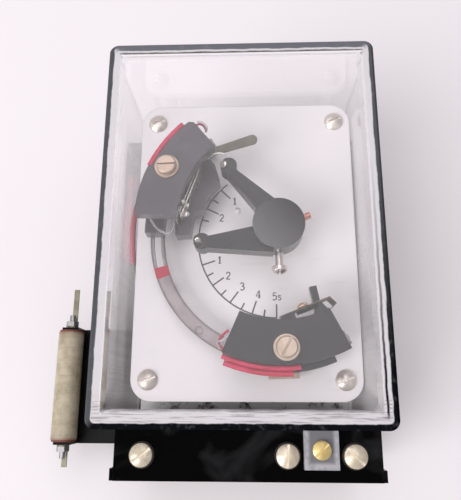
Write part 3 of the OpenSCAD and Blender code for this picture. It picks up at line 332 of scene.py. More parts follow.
def clear_cover():
    """Clear acrylic. Lamps and soft light pass through it, more through its top than through its tall walls.

    Its moulded upper edge, its lug and its tall walls carry a diffuse layer of painted light: painted
    refraction and reflections in dark, grey and white bands along the edge, a pale painted reflection on the
    lug, and a pale painted reflection on the walls where they are seen at a slant.
    """
    f = Finish("clear_acrylic", (0.985, 0.978, 0.985, 1), 0.02)
    f.set("Transmission Weight", 1.0)
    f.set("IOR", 1.49)
    f.bump(f.noise(14, 2, 0.4), 0.0004, 0.12)
    x, y, z = f.split()
    upward = f.upward()
    # Painted reflection strength by height: none along the lower edge, stronger toward the top.
    reflection_by_height = f.product(f.span(y, -0.0745, -0.0700, 0.0, 1.0), f.span(y, -0.07, 0.06, 0.74, 0.96))
    f.drive("Specular Tint", f.mix(reflection_by_height, (0, 0, 0, 1), (1, 1, 1, 1)))

    half_w, half_h, corner = COVER_HALF_W * MM, COVER_HALF_H * MM, COVER_CORNER * MM
    qx = f.math("SUBTRACT", f.math("ABSOLUTE", x), half_w - corner)
    qy = f.math("SUBTRACT", f.math("ABSOLUTE", y), half_h - corner)
    px, py = f.math("MAXIMUM", qx, 0.0), f.math("MAXIMUM", qy, 0.0)
    beyond = f.math("SQRT", f.math("ADD", f.math("MULTIPLY", px, px), f.math("MULTIPLY", py, py)))
    within = f.math("MINIMUM", f.math("MAXIMUM", qx, qy), 0.0)
    depth = f.math("SUBTRACT", corner, f.math("ADD", beyond, within))
    # Painted refraction and reflection along the upper edge: bands by depth from the outer wall, with a ramp
    # for each side.
    wavy = f.span(f.noise(130, 3, 0.6), 0.3, 0.7, -0.00025, 0.00025)
    at = f.math("MULTIPLY", f.math("ADD", depth, wavy), 1 / (EDGE_REACH * MM))
    shown = {side: f.ramp(at, [(place / EDGE_REACH, colour) for place, colour in stops])
             for side, stops in PAINTED_EDGE.items()}
    to_right, to_top = f.span(x, -0.01, 0.01, 0.0, 1.0), f.span(y, -0.01, 0.01, 0.0, 1.0)
    at_side = f.span(f.math("SUBTRACT", qx, qy), -0.002, 0.002, 0.0, 1.0)
    up_right = f.span(y, -0.062, 0.03, 0.0, 1.0)
    right_colour = f.mix(up_right, shown["lower right"][0], shown["upper right"][0])
    right_cover = f.blend(up_right, shown["lower right"][1], shown["upper right"][1])
    painted_edge_colour = f.mix(at_side, f.mix(to_top, shown["bottom"][0], shown["top"][0]),
                        f.mix(to_right, shown["left"][0], right_colour))
    painted_edge_cover = f.blend(at_side, f.blend(to_top, shown["bottom"][1], shown["top"][1]),
                         f.blend(to_right, shown["left"][1], right_cover))
    lid = f.product(f.span(z, (COVER_TOP - 2) * MM, (COVER_TOP - 1.7) * MM, 0.0, 1.0),
                    f.span(upward, 0.15, 0.3, 0.0, 1.0))
    # Painted reflection streaks across the edge bands, and a darker pinkish streaky line in the bottom band.
    streaks = f.noise(1.0, 4, 0.7, at=f.stretched(240, 240, 60))
    mottled = f.mix(f.span(streaks, 0.56, 0.74, 0.0, 0.15), painted_edge_colour, paint(196, 196, 202))
    low_band = f.product(f.span(at, 0.33, 0.37, 0.0, 1.0), f.span(y, -0.07, -0.072, 0.0, 1.0),
                         f.span(f.noise(1.0, 3, 0.6, at=f.stretched(90, 1900, 90)), 0.5, 0.62, 0.0, 0.5))
    mottled = f.mix(low_band, mottled, paint(112, 96, 102))

    # Painted reflection on the lug: a pale grey layer, paler along its sides and tip.
    lug_from = f.math("ABSOLUTE", f.math("SUBTRACT", x, LUG_X * MM))
    lug_rim = f.math("MAXIMUM", f.span(lug_from, 0.0046, 0.0062, 0.0, 1.0),
                     f.span(y, (LUG_TIP_Y + 1.7) * MM, LUG_TIP_Y * MM, 0.0, 1.0))
    on_lug = f.product(f.span(y, -(COVER_HALF_H + 0.6) * MM, -(COVER_HALF_H + 0.2) * MM, 1.0, 0.0),
                       f.span(upward, 0.5, 0.8, 0.0, 1.0))
    lug_reflection_cover = f.product(on_lug, f.blend(lug_rim, 0.62, 0.85))
    lug_reflection_colour = f.mix(f.product(lug_rim, f.span(f.noise(420, 3), 0.35, 0.6, 0.4, 1.0)),
                       paint(176, 176, 184), paint(226, 224, 230))

    level = f.math("ABSOLUTE", upward)
    wall = f.product(f.span(level, 0.2, 0.5, 1.0, 0.0),
                     f.span(z, COVER_FOOT * MM, (COVER_FOOT + 4) * MM, 0.0, 1.0))
    # Painted reflection on the tall walls: a pale layer where they are seen at a slant, in soft streaks,
    # stronger toward the bottom.
    facing = f.add("ShaderNodeLayerWeight").outputs["Facing"]
    drawn = f.span(f.noise(1.0, 3, 0.6, at=f.stretched(420, 420, 6)), 0.35, 0.65, 0.88, 1.1)
    wall_reflection_cover = f.product(wall, f.span(facing, 0.5, 0.78, 0.0, 1.0), drawn,
                           f.span(y, -0.035, 0.015, 0.66, 0.16))

    # One diffuse layer carries the cover's painted light: the edge bands, the lug and a pale reflection on
    # the walls.
    cover_painted_light = f.add("ShaderNodeBsdfDiffuse")
    edge_and_lug_paint = f.mix(on_lug, mottled, lug_reflection_colour)
    f.link(f.mix(wall, edge_and_lug_paint, paint(236, 232, 234)), cover_painted_light.inputs[0])
    layered = f.add("ShaderNodeMixShader")
    covered = f.math("MAXIMUM", f.product(lid, painted_edge_cover), f.math("MAXIMUM", lug_reflection_cover, wall_reflection_cover))
    f.link(covered, layered.inputs[0])
    f.link(f.shader.outputs[0], layered.inputs[1])
    f.link(cover_painted_light.outputs[0], layered.inputs[2])

    clear = f.add("ShaderNodeBsdfTransparent")
    f.link(f.mix(f.span(level, 0.5, 0.8, 0.0, 1.0), (WALL_CLEAR,) * 3 + (1,), (TOP_CLEAR,) * 3 + (1,)),
           clear.inputs[0])
    path = f.add("ShaderNodeLightPath")
    either = f.math("MAXIMUM", path.outputs["Is Shadow Ray"], path.outputs["Is Diffuse Ray"])
    blended = f.add("ShaderNodeMixShader")
    f.link(either, blended.inputs[0])
    f.link(layered.outputs[0], blended.inputs[1])
    f.link(clear.outputs[0], blended.inputs[2])
    f.link(blended.outputs[0], f.out.inputs["Surface"])
    return f.material


def clear_sleeve():
    """Clear plastic sleeving with a varying polish."""
    f = Finish("clear_sleeve", linear(236, 232, 236), 0.18)
    f.set("Transmission Weight", 0.7)
    f.set("IOR", 1.4)
    f.drive("Roughness", f.span(f.noise(700, 3), 0.3, 0.7, 0.12, 0.3))
    return f.material


def red_sleeve(deep, pale):
    """Red plastic sleeving, a little uneven in colour, with soft streaks along it."""
    f = Finish("red_sleeve", deep, 0.38)
    broad = f.noise(180, 3, 0.6)
    f.drive("Base Color", f.mix(f.span(broad, 0.35, 0.7, 0.0, 1.0), deep, pale))
    f.drive("Roughness", f.span(f.noise(900, 3), 0.3, 0.7, 0.3, 0.5))
    f.bump(f.noise(1500, 3), 0.00004, 0.5)
    return f.material


def ink(name, colour):
    """Screen-printed ink: slightly broken edges of tone, matt."""
    f = Finish(name, colour, 0.6)
    worn = f.noise(2400, 3, 0.7)
    pale = tuple(min(1.0, c * 1.9 + 0.03) for c in colour[:3]) + (1,)
    f.drive("Base Color", f.mix(f.span(worn, 0.55, 0.75, 0.0, 0.7), colour, pale))
    f.drive("Roughness", f.span(worn, 0.3, 0.7, 0.5, 0.7))
    return f.material


def resistor_glaze():
    """Vitreous olive-brown enamel with soft rings, chips and a lustre that varies."""
    f = Finish("resistor_glaze", linear(176, 165, 144), 0.42)
    x, y, z = f.split()
    along = f.join(*(f.math("MULTIPLY", part, scale) for part, scale in ((x, 40), (y, 900), (z, 40))))
    rings = f.noise(1.0, 3, 0.5, at=along)
    blotch = f.noise(130, 5, 0.65)
    base = f.ramp(blotch, [(0.3, linear(156, 145, 122)), (0.52, linear(190, 178, 154)),
                           (0.75, linear(212, 202, 180))])[0]
    ends = f.span(f.math("ABSOLUTE", f.math("SUBTRACT", y, RESISTOR_Y * MM)), 0.0258, 0.0275, 0.0, 0.6)
    ringed = f.mix(f.span(rings, 0.5, 0.75, 0.0, 0.4), base, linear(146, 134, 110))
    f.drive("Base Color", f.mix(ends, ringed, linear(132, 76, 66)))
    f.drive("Roughness", f.span(blotch, 0.3, 0.75, 0.28, 0.5))
    f.bump(f.math("ADD", rings, f.math("MULTIPLY", f.noise(900, 3), 0.5)), 0.00012, 0.5)
    return f.material


def rail_metal():
    """Dull zinc-plated strip, darker along its sheared edges, with drawing marks that run round."""
    f = Finish("zinc_rail", linear(140, 131, 134), 0.42, 0.5)
    f.soft_edges(0.00025)
    radius, marks = f.ring_marks(*AXIS)
    blotch = f.noise(160, 4, 0.65)
    base = f.mix(f.span(blotch, 0.42, 0.72, 0.0, 0.55), linear(150, 141, 143), linear(112, 104, 106))
    near = f.math("ABSOLUTE", f.math("SUBTRACT", radius, RAIL_R * MM))
    f.drive("Base Color", f.mix(f.span(near, 0.0020, 0.0032, 0.0, 0.8), base, linear(72, 64, 66)))
    f.drive("Roughness", f.span(f.math("ADD", blotch, f.math("MULTIPLY", marks, 0.6)), 0.5, 1.1, 0.34, 0.56))
    f.bump(marks, 0.00001, 0.6)
    return f.material


def lead_sleeves():
    """Old sleeving on the inner leads: faded red above, grey-green below the join."""
    f = Finish("lead_sleeves", linear(180, 60, 86), 0.5)
    y = f.split()[1]
    broad = f.noise(180, 3, 0.6)
    red = f.mix(broad, linear(170, 48, 76), linear(206, 112, 130))
    grey = f.mix(broad, linear(112, 116, 108), linear(140, 142, 134))
    f.drive("Base Color", f.mix(f.span(y, (LEAD_JOIN_Y - 2.5) * MM, LEAD_JOIN_Y * MM, 1.0, 0.0), red, grey))
    f.drive("Roughness", f.span(f.noise(900, 3), 0.3, 0.7, 0.42, 0.6))
    f.bump(f.noise(1500, 3), 0.00004, 0.5)
    return f.material


def rubber():
    """Grey-black gasket rubber."""
    f = Finish("gasket_rubber", linear(40, 46, 52), 0.8)
    grain = f.noise(2600, 4, 0.7)
    f.drive("Base Color", f.mix(grain, linear(28, 34, 40), linear(58, 66, 74)))
    f.drive("Roughness", f.span(grain, 0.3, 0.7, 0.75, 0.95))
    f.bump(grain, 0.0001, 0.6)
    return f.material


def fibre():
    """Vulcanised fibre washers, red-brown with short fibres."""
    f = Finish("fibre", linear(112, 60, 48), 0.6)
    strands = f.noise(1.0, 4, 0.7, at=f.stretched(900, 2600, 900))
    f.drive("Base Color", f.mix(strands, linear(96, 46, 38), linear(142, 84, 66)))
    f.drive("Roughness", f.span(strands, 0.3, 0.7, 0.5, 0.75))
    f.bump(strands, 0.00005, 0.6)
    return f.material


def winding():
    """Enamelled copper wire, turn by turn round the bobbin's axis."""
    f = Finish("winding", linear(150, 72, 36), 0.35, 0.7)
    turns = f.math("SINE", f.math("MULTIPLY", f.split()[1], 2 * math.pi / (WINDING_PITCH * MM)))
    f.drive("Base Color", f.mix(f.span(turns, -1, 1, 0, 1), linear(92, 38, 20), linear(182, 96, 52)))
    f.drive("Roughness", f.span(f.noise(600, 3), 0.3, 0.7, 0.28, 0.45))
    f.bump(turns, 0.0001, 0.8)
    return f.material


def plastic(name, dark, pale, rough=0.45):
    """Moulded plastic, a little uneven in colour and polish."""
    f = Finish(name, pale, rough)
    broad = f.noise(120, 4, 0.6)
    f.drive("Base Color", f.mix(broad, dark, pale))
    f.drive("Roughness", f.span(f.noise(800, 3), 0.3, 0.7, rough - 0.08, rough + 0.1))
    f.bump(f.noise(1800, 3), 0.00003, 0.5)
    return f.material


def bracket_paint():
    """Black stoved paint on folded steel, worn to metal at the edges."""
    f = Finish("bracket_paint", (0.004, 0.004, 0.0044, 1), 0.35, 0.0, 0.16)
    near_edge = f.soft_edges(0.0005)
    worn = f.math("MULTIPLY", near_edge, f.span(f.noise(520, 4, 0.7), 0.45, 0.62, 0.0, 1.0))
    peel = f.noise(900, 3, 0.5)
    painted = f.mix(peel, (0.002, 0.002, 0.0024, 1), (0.006, 0.006, 0.0066, 1))
    f.drive("Base Color", f.mix(worn, painted, linear(128, 126, 122)))
    f.drive("Metallic", f.math("MULTIPLY", worn, 0.8))
    f.drive("Roughness", f.span(peel, 0.3, 0.7, 0.26, 0.44))
    f.bump(peel, 0.00005, 0.5)
    return f.material


FINE_GRAIN = 0.000002
# The base moulding carries a painted reflection layer and painted glare patches.
BLACK = moulding("black_moulding", 0.0014, rough=(0.18, 0.32), specular=(0.012, 0.2), wear=0.05,
                 reflection_from_y=BASE_REFLECTION_FROM_Y * MM)
# The carrier's hub carries a painted sheen across its top.
CARRIER_BLACK = moulding("carrier_moulding", 0.008, rough=(0.28, 0.38), specular=(0.27, 1.0), wear=0.09,
                         grain=FINE_GRAIN, tint=(1.1, 1.0, 1.2), sheen=(0.0985, 0.016, 0.0, 1.0))
# The two contact blocks are one black moulding in two copies, the upper painted lighter and the lower darker:
# painted light for the cover's reflection, stronger over the upper part.
UPPER_BLOCK_PAINTED_LIGHTER = moulding("upper_block_painted_lighter", 0.045, rough=(0.18, 0.32), specular=(0.34, 1.0), wear=0.1,
                       grain=FINE_GRAIN, tint=(1.22, 1.0, 1.26))
LOWER_BLOCK_PAINTED_DARKER = moulding("lower_block_painted_darker", 0.016, rough=(0.16, 0.28), specular=(0.25, 1.0), wear=0.09,
                           grain=FINE_GRAIN, tint=(1.05, 1.0, 1.1))
NICKEL = bright_metal("nickel", linear(226, 216, 208), 0.3, stain=linear(170, 158, 150), metallic=0.75)
TERMINAL = bright_metal("terminal_screws", linear(238, 226, 204), 0.3, stain=linear(150, 128, 104),
                        metallic=0.55, edge=0.00008, spread=0.2)
DULL_WASHER = bright_metal("terminal_washers", linear(46, 43, 41), 0.45, stain=linear(28, 26, 25),
                           metallic=0.4)
STEEL = bright_metal("steel", linear(186, 184, 184), 0.34)
BRASS = bright_metal("brass", linear(244, 222, 154), 0.36, stain=linear(184, 140, 78), metallic=0.65,
                     edge=0.00008)
CLOCK_BRASS = bright_metal("clock_brass", linear(206, 168, 96), 0.34, stain=linear(150, 112, 60))
CHAMPAGNE = bright_metal("champagne", linear(184, 163, 147), 0.36, stain=linear(148, 122, 104),
                         axis=UPPER_CLAMP, metallic=0.7)
CHAMPAGNE_LOW = bright_metal("champagne_low", linear(184, 167, 150), 0.36, stain=linear(144, 124, 104),
                             axis=LOWER_CLAMP, metallic=0.7)
PALE_SCREW = bright_metal("pale_screw", linear(224, 216, 212), 0.24, stain=linear(148, 136, 130))
SILVER = bright_metal("silver_contact", linear(232, 228, 222), 0.22, stain=linear(170, 160, 150))
COPPER = bright_metal("copper_screw", linear(210, 146, 130), 0.34, stain=linear(164, 74, 72))
OLIVE = bright_metal("olive_strip", linear(96, 90, 79), 0.42, stain=linear(66, 60, 52), metallic=0.6)
TAB = bright_metal("solder_tab", linear(150, 146, 128), 0.42, stain=linear(104, 100, 84))
DARK_LEAF = bright_metal("dark_leaf", linear(118, 108, 98), 0.4, stain=linear(70, 62, 56))
GOLD = bright_metal("gold_contact", linear(216, 184, 152), 0.26, stain=linear(160, 120, 96), metallic=0.8)

SLOTS = {
    "black_moulding": BLACK,
    "gasket": rubber(),
    "clear_cover": clear_cover(),
    "brass_screw": BRASS,
    "nickel": NICKEL,
    "dial_paint": dial_paint(),
    "steel": STEEL,
    "rail_metal": rail_metal(),
    "clock_brass": CLOCK_BRASS,
    "black_carrier": CARRIER_BLACK,
    "silver": SILVER,
    "pale_screw": PALE_SCREW,
    "copper_screw": COPPER,
    "champagne_screw": CHAMPAGNE,
    "olive_strip": OLIVE,
    "dark_leaf": DARK_LEAF,
    "gold_contact": GOLD,
    "red_sleeve": red_sleeve(linear(176, 8, 54), linear(200, 32, 82)),
    "clear_wire": clear_sleeve(),
    "bobbin_brown": plastic("bobbin_moulding", linear(72, 44, 30), linear(98, 62, 42)),
    "winding": winding(),
    "resistor_glaze": resistor_glaze(),
    "fibre": fibre(),
    "bracket_paint": bracket_paint(),
}

for entry in frame["record"]["subparts"]:
    nodes[entry["node"]].data.materials.clear()
    nodes[entry["node"]].data.materials.append(SLOTS[entry["material_slot"]])
for node, material in (("lower_clamp_screw", CHAMPAGNE_LOW), ("lower_clamp_washer", CHAMPAGNE_LOW),
                       ("upper_block", UPPER_BLOCK_PAINTED_LIGHTER), ("upper_foot", UPPER_BLOCK_PAINTED_LIGHTER),
                       ("lower_block", LOWER_BLOCK_PAINTED_DARKER), ("lower_foot", LOWER_BLOCK_PAINTED_DARKER),
                       ("terminal_screws", TERMINAL), ("terminal_washers", DULL_WASHER),
                       ("resistor_tabs", TAB), ("internal_leads", lead_sleeves())):
    nodes[node].data.materials[0] = material


# Printed and turned pieces.

def mesh_object(name, verts, faces, material):
    mesh = bpy.data.meshes.new(name)
    mesh.from_pydata(verts, [], faces)
    mesh.validate()
    mesh.update()
    mesh.materials.append(material)
    made = bpy.data.objects.new(name, mesh)
    bpy.context.scene.collection.objects.link(made)
    return made


def solid(name, faces_2d, z0, z1, material, body):
    """One piece from flat polygons (lists of (x, y) in mm), each made into a thin slab from z0 to z1."""
    verts, faces = [], []
    for ring in faces_2d:
        n, base = len(ring), len(verts)
        verts += [(x * MM, y * MM, z0 * MM) for x, y in ring] + [(x * MM, y * MM, z1 * MM) for x, y in ring]
        faces.append(tuple(base + i for i in reversed(range(n))))
        faces.append(tuple(base + n + i for i in range(n)))
        faces += [(base + i, base + (i + 1) % n, base + n + (i + 1) % n, base + n + i) for i in range(n)]
    piece = mesh_object(name, verts, faces, material)
    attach(piece, body)


def polar(radius, degrees):
    a = math.radians(degrees)
    return AXIS[0] + radius * math.cos(a), AXIS[1] + radius * math.sin(a)


def arc(r1, r2, a1, a2, steps):
    """Quads of a ring sector about the dial's axis."""
    quads = []
    for i in range(steps):
        b1, b2 = a1 + (a2 - a1) * i / steps, a1 + (a2 - a1) * (i + 1) / steps
        quads.append([polar(r1, b1), polar(r2, b1), polar(r2, b2), polar(r1, b2)])
    return quads


def tick(r1, r2, degrees, width):
    a = math.radians(degrees)
    nx, ny = -math.sin(a) * width / 2, math.cos(a) * width / 2
    (x1, y1), (x2, y2) = polar(r1, degrees), polar(r2, degrees)
    return [(x1 - nx, y1 - ny), (x2 - nx, y2 - ny), (x2 + nx, y2 + ny), (x1 + nx, y1 + ny)]


def smooth(points, steps=5):
    """A smooth line through the points."""
    out = []
    for i in range(len(points) - 1):
        p0, p1, p2, p3 = (points[max(0, min(len(points) - 1, i + k))] for k in (-1, 0, 1, 2))
        for s in range(steps):
            t = s / steps
            out.append(tuple(0.5 * (2 * b + (c - a) * t + (2 * a - 5 * b + 4 * c - d) * t * t
                                    + (3 * b - a - 3 * c + d) * t ** 3)
                             for a, b, c, d in zip(p0, p1, p2, p3)))
    return out + [points[-1]]


def stroke(points, width):
    """Quads of a line of that width."""
    left, right = [], []
    for i, (x, y) in enumerate(points):
        ax, ay = points[max(0, i - 1)]
        bx, by = points[min(len(points) - 1, i + 1)]
        dx, dy = bx - ax, by - ay
        length = math.hypot(dx, dy) or 1.0
        nx, ny = -dy / length * width / 2, dx / length * width / 2
        left.append((x + nx, y + ny))
        right.append((x - nx, y - ny))
    return [[right[i], right[i + 1], left[i + 1], left[i]] for i in range(len(points) - 1)]


# Each figure is a list of (line width, points) in a box 1 high.
FIGURES = {
    "1": [(0.13, [(0.15, 0.8), (0.33, 0.94)]),
          (0.19, [(0.34, 1.0), (0.34, 0.0)]),
          (0.1, [(0.16, 0.05), (0.52, 0.05)])],
    "2": [(0.15, smooth([(0.08, 0.74), (0.16, 0.92), (0.33, 0.98), (0.5, 0.9), (0.54, 0.72), (0.42, 0.48),
                         (0.08, 0.06)])),
          (0.13, [(0.06, 0.06), (0.6, 0.06)])],
    "3": [(0.14, smooth([(0.08, 0.82), (0.2, 0.96), (0.38, 0.96), (0.5, 0.82), (0.44, 0.62), (0.26, 0.55)])),
          (0.15, smooth([(0.26, 0.55), (0.48, 0.48), (0.56, 0.28), (0.46, 0.08), (0.26, 0.02),
                          (0.08, 0.12)]))],
    "4": [(0.1, [(0.42, 0.98), (0.04, 0.3)]),
          (0.11, [(0.04, 0.28), (0.64, 0.28)]),
          (0.16, [(0.44, 1.0), (0.44, 0.0)]),
          (0.08, [(0.28, 0.03), (0.6, 0.03)])],
    "5": [(0.12, [(0.14, 0.94), (0.54, 0.94)]),
          (0.11, [(0.17, 0.96), (0.12, 0.52)]),
          (0.15, smooth([(0.12, 0.54), (0.3, 0.62), (0.5, 0.52), (0.56, 0.3), (0.46, 0.08), (0.26, 0.02),
                         (0.08, 0.1)]))],
    "s": [(0.12, smooth([(0.42, 0.52), (0.3, 0.62), (0.14, 0.58), (0.1, 0.46), (0.26, 0.34), (0.42, 0.24),
                         (0.4, 0.08), (0.22, 0.0), (0.07, 0.08)]))],
}
ADVANCE = {"s": 0.6}


def figure(text, x, y, height):
    """Quads of the figures in text, centred on (x, y)."""
    width = sum(ADVANCE.get(c, 0.7) for c in text) * height
    at = x - width / 2
    quads = []
    for c in text:
        for line, points in FIGURES[c]:
            placed = [(at + px * height, y - height / 2 + py * height) for px, py in points]
            quads += stroke(placed, line * height)
        at += ADVANCE.get(c, 0.7) * height
    return quads


# The dial's scale: ticks by their angle in degrees, and the figures with their middles.
SCALE_R, SCALE_W, TICK_W = 38.1, 0.7, 0.72
LONG_FROM, SHORT_FROM = 31.5, 34.6
LONG_TICKS = (135.6, 153.9, 198.7, 215.9, 233.8, 251.6, 269.4)
SHORT_TICKS = (145.5, 163.2, 207.8, 225.3, 243.2, 260.3)
NUMBERS = (("1", -3.62, 24.04), ("2", -10.11, 15.24), ("1", -10.92, -6.34), ("2", -6.72, -14.22),
           ("3", 0.1, -19.5), ("4", 7.7, -23.3), ("5s", 16.6, -24.3))
NUMBER_HEIGHT = 3.7
PRINT_SINK = 0.01

scale = arc(SCALE_R - SCALE_W / 2, SCALE_R + SCALE_W / 2, 129, 269.8, 60)
scale += [tick(LONG_FROM, SCALE_R, degrees, TICK_W) for degrees in LONG_TICKS]
scale += [tick(SHORT_FROM, SCALE_R, degrees, TICK_W) for degrees in SHORT_TICKS]
for text, x, y in NUMBERS:
    scale += figure(text, x, y, NUMBER_HEIGHT)
solid("dial_scale", scale, DIAL_Z - PRINT_SINK, DIAL_Z + 0.05, ink("dial_ink", linear(66, 64, 72)),
      "case")
solid("rail_mark", arc(RAIL_R - 3.2, RAIL_R + 3.2, 195.4, 200.6, 8), RAIL_TOP - PRINT_SINK, RAIL_TOP + 0.06,
      ink("red_mark", linear(176, 22, 58)), "case")


def lofted(name, rings, material, body):
    """One closed smooth piece through rings of points in mm."""
    sides = len(rings[0])
    verts = [tuple(c * MM for c in point) for ring in rings for point in ring]
    faces = []
    for k in range(len(rings) - 1):
        for i in range(sides):
            j = (i + 1) % sides
            faces.append((k * sides + i, k * sides + j, (k + 1) * sides + j, (k + 1) * sides + i))
    faces.append(tuple(reversed(range(sides))))
    faces.append(tuple((len(rings) - 1) * sides + i for i in range(sides)))
    piece = mesh_object(name, verts, faces, material)
    piece.data.shade_smooth()
    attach(piece, body)


def circle(middle, across, third, radius, sides):
    """Points of a circle in the plane of the directions across and third."""
    return [middle + (across * math.cos(a) + third * math.sin(a)) * radius
            for a in (2 * math.pi * i / sides for i in range(sides))]


def turned(name, origin, axis, profile, material, body):
    """A closed turned piece about an axis through origin from (radius, height) pairs in mm."""
    axis = Vector(axis).normalized()
    across = axis.orthogonal().normalized()
    third = axis.cross(across)
    rings = [circle(Vector(origin) + axis * height, across, third, radius, 32) for radius, height in profile]
    lofted(name, rings, material, body)


def strand(name, points, radius, material, body):
    """A short bent length of wire or sleeving along a smooth line."""
    path = [Vector(point) for point in smooth(points, 6)]
    rings = []
    across = None
    for i, middle in enumerate(path):
        ahead = (path[min(i + 1, len(path) - 1)] - path[max(i - 1, 0)]).normalized()
        if across:
            across = (across - ahead * across.dot(ahead)).normalized()
        else:
            across = ahead.orthogonal().normalized()
        third = ahead.cross(across)
        rings.append(circle(middle, across, third, radius, 10))
    lofted(name, rings, material, body)


turned("dial_plug", (-2.34, 18.61, DIAL_Z), (0, 0, 1),
       [(1.2, -1.4), (1.2, 0.0), (1.6, 0.05), (1.5, 0.35), (1.2, 0.6), (0.7, 0.75), (0.2, 0.8)],
       plastic("plug_white", (0.93, 0.91, 0.925, 1), (0.99, 0.97, 0.985, 1), 0.2), "case")

# Domed heads on the rivets that hold the two leaves of the upper block.
for number, place in enumerate([(-26.2, 13.6, 98.7), (-24.7, 9.0, 95.3)]):
    turned("upper_rivet_head_%d" % (number + 1), place, (0.2, -0.25, 0.95),
           [(0.5, -2.6), (0.55, -0.3), (1.15, -0.25), (1.3, 0.0), (1.2, 0.4), (0.85, 0.75), (0.3, 0.92)],
           SILVER, "upper_contact_block")

# Ends of the flexible leads where they leave the contact blocks.
strand("upper_red_end", [(-21.6, 51.4, 97.6), (-19.6, 52.2, 98.4), (-17.4, 51.2, 98.2), (-16.2, 49.2, 97.0)],
       0.55, SLOTS["red_sleeve"], "upper_contact_block")
strand("upper_clear_end", [(-20.2, 53.0, 98.8), (-18.0, 52.4, 99.4), (-16.2, 50.6, 98.6),
                           (-16.6, 48.4, 97.2)],
       0.55, SLOTS["clear_wire"], "upper_contact_block")
strand("upper_strand", [(-16.2, 37.6, 91.0), (-13.4, 39.6, 91.8), (-10.2, 40.2, 92.0), (-7.4, 39.6, 91.6)],
       0.5, SILVER, "upper_contact_block")
strand("lower_red_end", [(-5.4, -43.6, 97.4), (-8.6, -46.4, 97.0), (-9.6, -49.4, 96.8), (-7.6, -51.8, 97.2)],
       0.55, SLOTS["red_sleeve"], "lower_contact_block")
strand("lower_clear_end", [(-4.8, -44.8, 98.6), (-7.6, -47.8, 98.4), (-10.0, -48.8, 97.6),
                           (-9.0, -51.6, 97.6)],
       0.55, SLOTS["clear_wire"], "lower_contact_block")

# Rivet head of the lower contact, and a black strip that fills the notch behind its leaf.
contact_box = [nodes["lower_contact"].matrix_world @ Vector(c) for c in nodes["lower_contact"].bound_box]
contact_at = sum(contact_box, Vector()) / 8 / MM
turned("lower_contact_head", contact_at, (-0.38, 0.92, 0.0),
       [(2.4, -0.5), (2.5, 0.3), (2.2, 0.9), (1.4, 1.5), (0.4, 1.7)],
       GOLD, "lower_contact_block")
solid("lower_notch_fill", [[(24.7, -35.6), (31.9, -32.9), (31.9, -31.4), (24.4, -34.1)]], 83.5, 86.5,
      LOWER_BLOCK_PAINTED_DARKER, "lower_contact_block")


# Floor, light and camera.

BACKGROUND, BACKGROUND_STRENGTH, SOFT_LIGHT = (1.0, 0.985, 0.995, 1), 0.93, 0.42


def floor_material():
    """Pale paper that runs out into the white of the background far from the object."""
    lit, shown = linear(225, 220, 223), linear(246, 241, 244)
    f = Finish("studio_floor", lit, 0.9, specular=0.1)
    path = f.add("ShaderNodeLightPath")
    seen = f.math("MAXIMUM", path.outputs["Is Camera Ray"],
                  f.math("MAXIMUM", path.outputs["Is Glossy Ray"], path.outputs["Is Transmission Ray"]))
    f.drive("Base Color", f.mix(seen, lit, shown))
    radius = f.around(0.0, 0.0)[0]
    beyond = f.add("ShaderNodeEmission")
    beyond.inputs[0].default_value = BACKGROUND
    beyond.inputs[1].default_value = BACKGROUND_STRENGTH
    joined = f.add("ShaderNodeMixShader")
    f.link(f.math("MULTIPLY", seen, f.span(radius, 0.38, 1.3, 0.0, 1.0)), joined.inputs[0])
    f.link(f.shader.outputs[0], joined.inputs[1])
    f.link(beyond.outputs[0], joined.inputs[2])
    f.link(joined.outputs[0], f.out.inputs["Surface"])
    return f.material


FLOOR_HALF, FLOOR_DROP = 4.0, 0.00005
floor_corners = [(-FLOOR_HALF, -FLOOR_HALF, 0), (FLOOR_HALF, -FLOOR_HALF, 0),
                 (FLOOR_HALF, FLOOR_HALF, 0), (-FLOOR_HALF, FLOOR_HALF, 0)]
floor = mesh_object("floor", floor_corners, [(0, 1, 2, 3)], floor_material())
floor.location = (0, 0, -FLOOR_DROP)


def area_light(name, place, target, width, height, power, colour):
    data = bpy.data.lights.new(name, "AREA")
    data.shape = "RECTANGLE"
    data.size, data.size_y = width, height
    data.energy = power
    data.color = colour
    lamp = bpy.data.objects.new(name, data)
    bpy.context.scene.collection.objects.link(lamp)
    lamp.location = place
    direction = Vector(target) - Vector(place)
    lamp.rotation_euler = direction.to_track_quat("-Z", "Y").to_euler()


area_light("softbox", (-0.04, 0.29, 1.118), (-0.04, 0.29, 0.0), 0.80, 1.16, 4.25, (1.0, 0.965, 0.99))
area_light("window", (-1.45, -1.1, 1.55), (0.0, 0.0, 0.05), 1.4, 1.4, 34.6, (1.0, 0.98, 0.985))


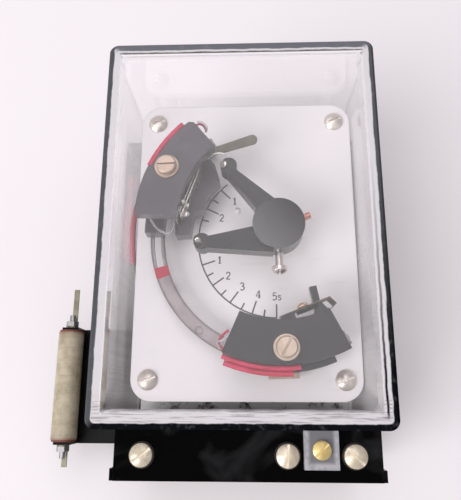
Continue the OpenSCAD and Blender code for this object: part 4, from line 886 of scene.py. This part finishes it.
def studio_world():
    """Even soft light all round, and the white of the background where the camera looks past the floor."""
    world = bpy.data.worlds.new("studio")
    world.use_nodes = True
    tree = world.node_tree
    tree.nodes.clear()
    out = tree.nodes.new("ShaderNodeOutputWorld")
    back = tree.nodes.new("ShaderNodeBackground")
    tree.links.new(back.outputs[0], out.inputs[0])
    back.inputs["Color"].default_value = BACKGROUND
    path = tree.nodes.new("ShaderNodeLightPath")
    seen = tree.nodes.new("ShaderNodeMapRange")
    tree.links.new(path.outputs["Is Camera Ray"], seen.inputs["Value"])
    seen.inputs["To Min"].default_value = SOFT_LIGHT
    seen.inputs["To Max"].default_value = BACKGROUND_STRENGTH
    tree.links.new(seen.outputs[0], back.inputs["Strength"])
    return world


scene = bpy.context.scene
scene.world = studio_world()
scene.view_settings.view_transform = "Standard"

# The camera as fitted to the photo: a point of the cover's lower front edge lies at VIEWED in the
# camera's own axes (right, up, ahead), in mm.
PHOTO_HEIGHT, FOCAL = 500, 550
SENSOR = 36
VIEWED, VIEWED_AT = (3.75, -66.77, 202.92), (0, -83.15, 118.0)
tilt, yaw, roll = (math.radians(a) for a in (15.22, -2.14, -0.23))

turn_tilt = Matrix(((1, 0, 0), (0, math.cos(tilt), math.sin(tilt)), (0, math.sin(tilt), -math.cos(tilt))))
turn_yaw = Matrix(((math.cos(yaw), 0, math.sin(yaw)), (0, 1, 0), (-math.sin(yaw), 0, math.cos(yaw))))
turn_roll = Matrix(((math.cos(roll), -math.sin(roll), 0), (math.sin(roll), math.cos(roll), 0), (0, 0, 1)))
rows = turn_roll @ (turn_tilt @ turn_yaw)
spot = -(rows.transposed() @ Vector(VIEWED)) + Vector(VIEWED_AT)
camera_data = bpy.data.cameras.new("camera")
camera_data.sensor_width = SENSOR
camera_data.lens = FOCAL * SENSOR / PHOTO_HEIGHT
camera_data.clip_start = 0.01
camera = bpy.data.objects.new("camera", camera_data)
scene.collection.objects.link(camera)
right, up, ahead = (Vector(row) for row in rows)
camera.matrix_world = Matrix(((right.x, up.x, -ahead.x, spot.x * MM),
                              (right.y, up.y, -ahead.y, spot.y * MM),
                              (right.z, up.z, -ahead.z, spot.z * MM),
                              (0, 0, 0, 1)))
scene.camera = camera
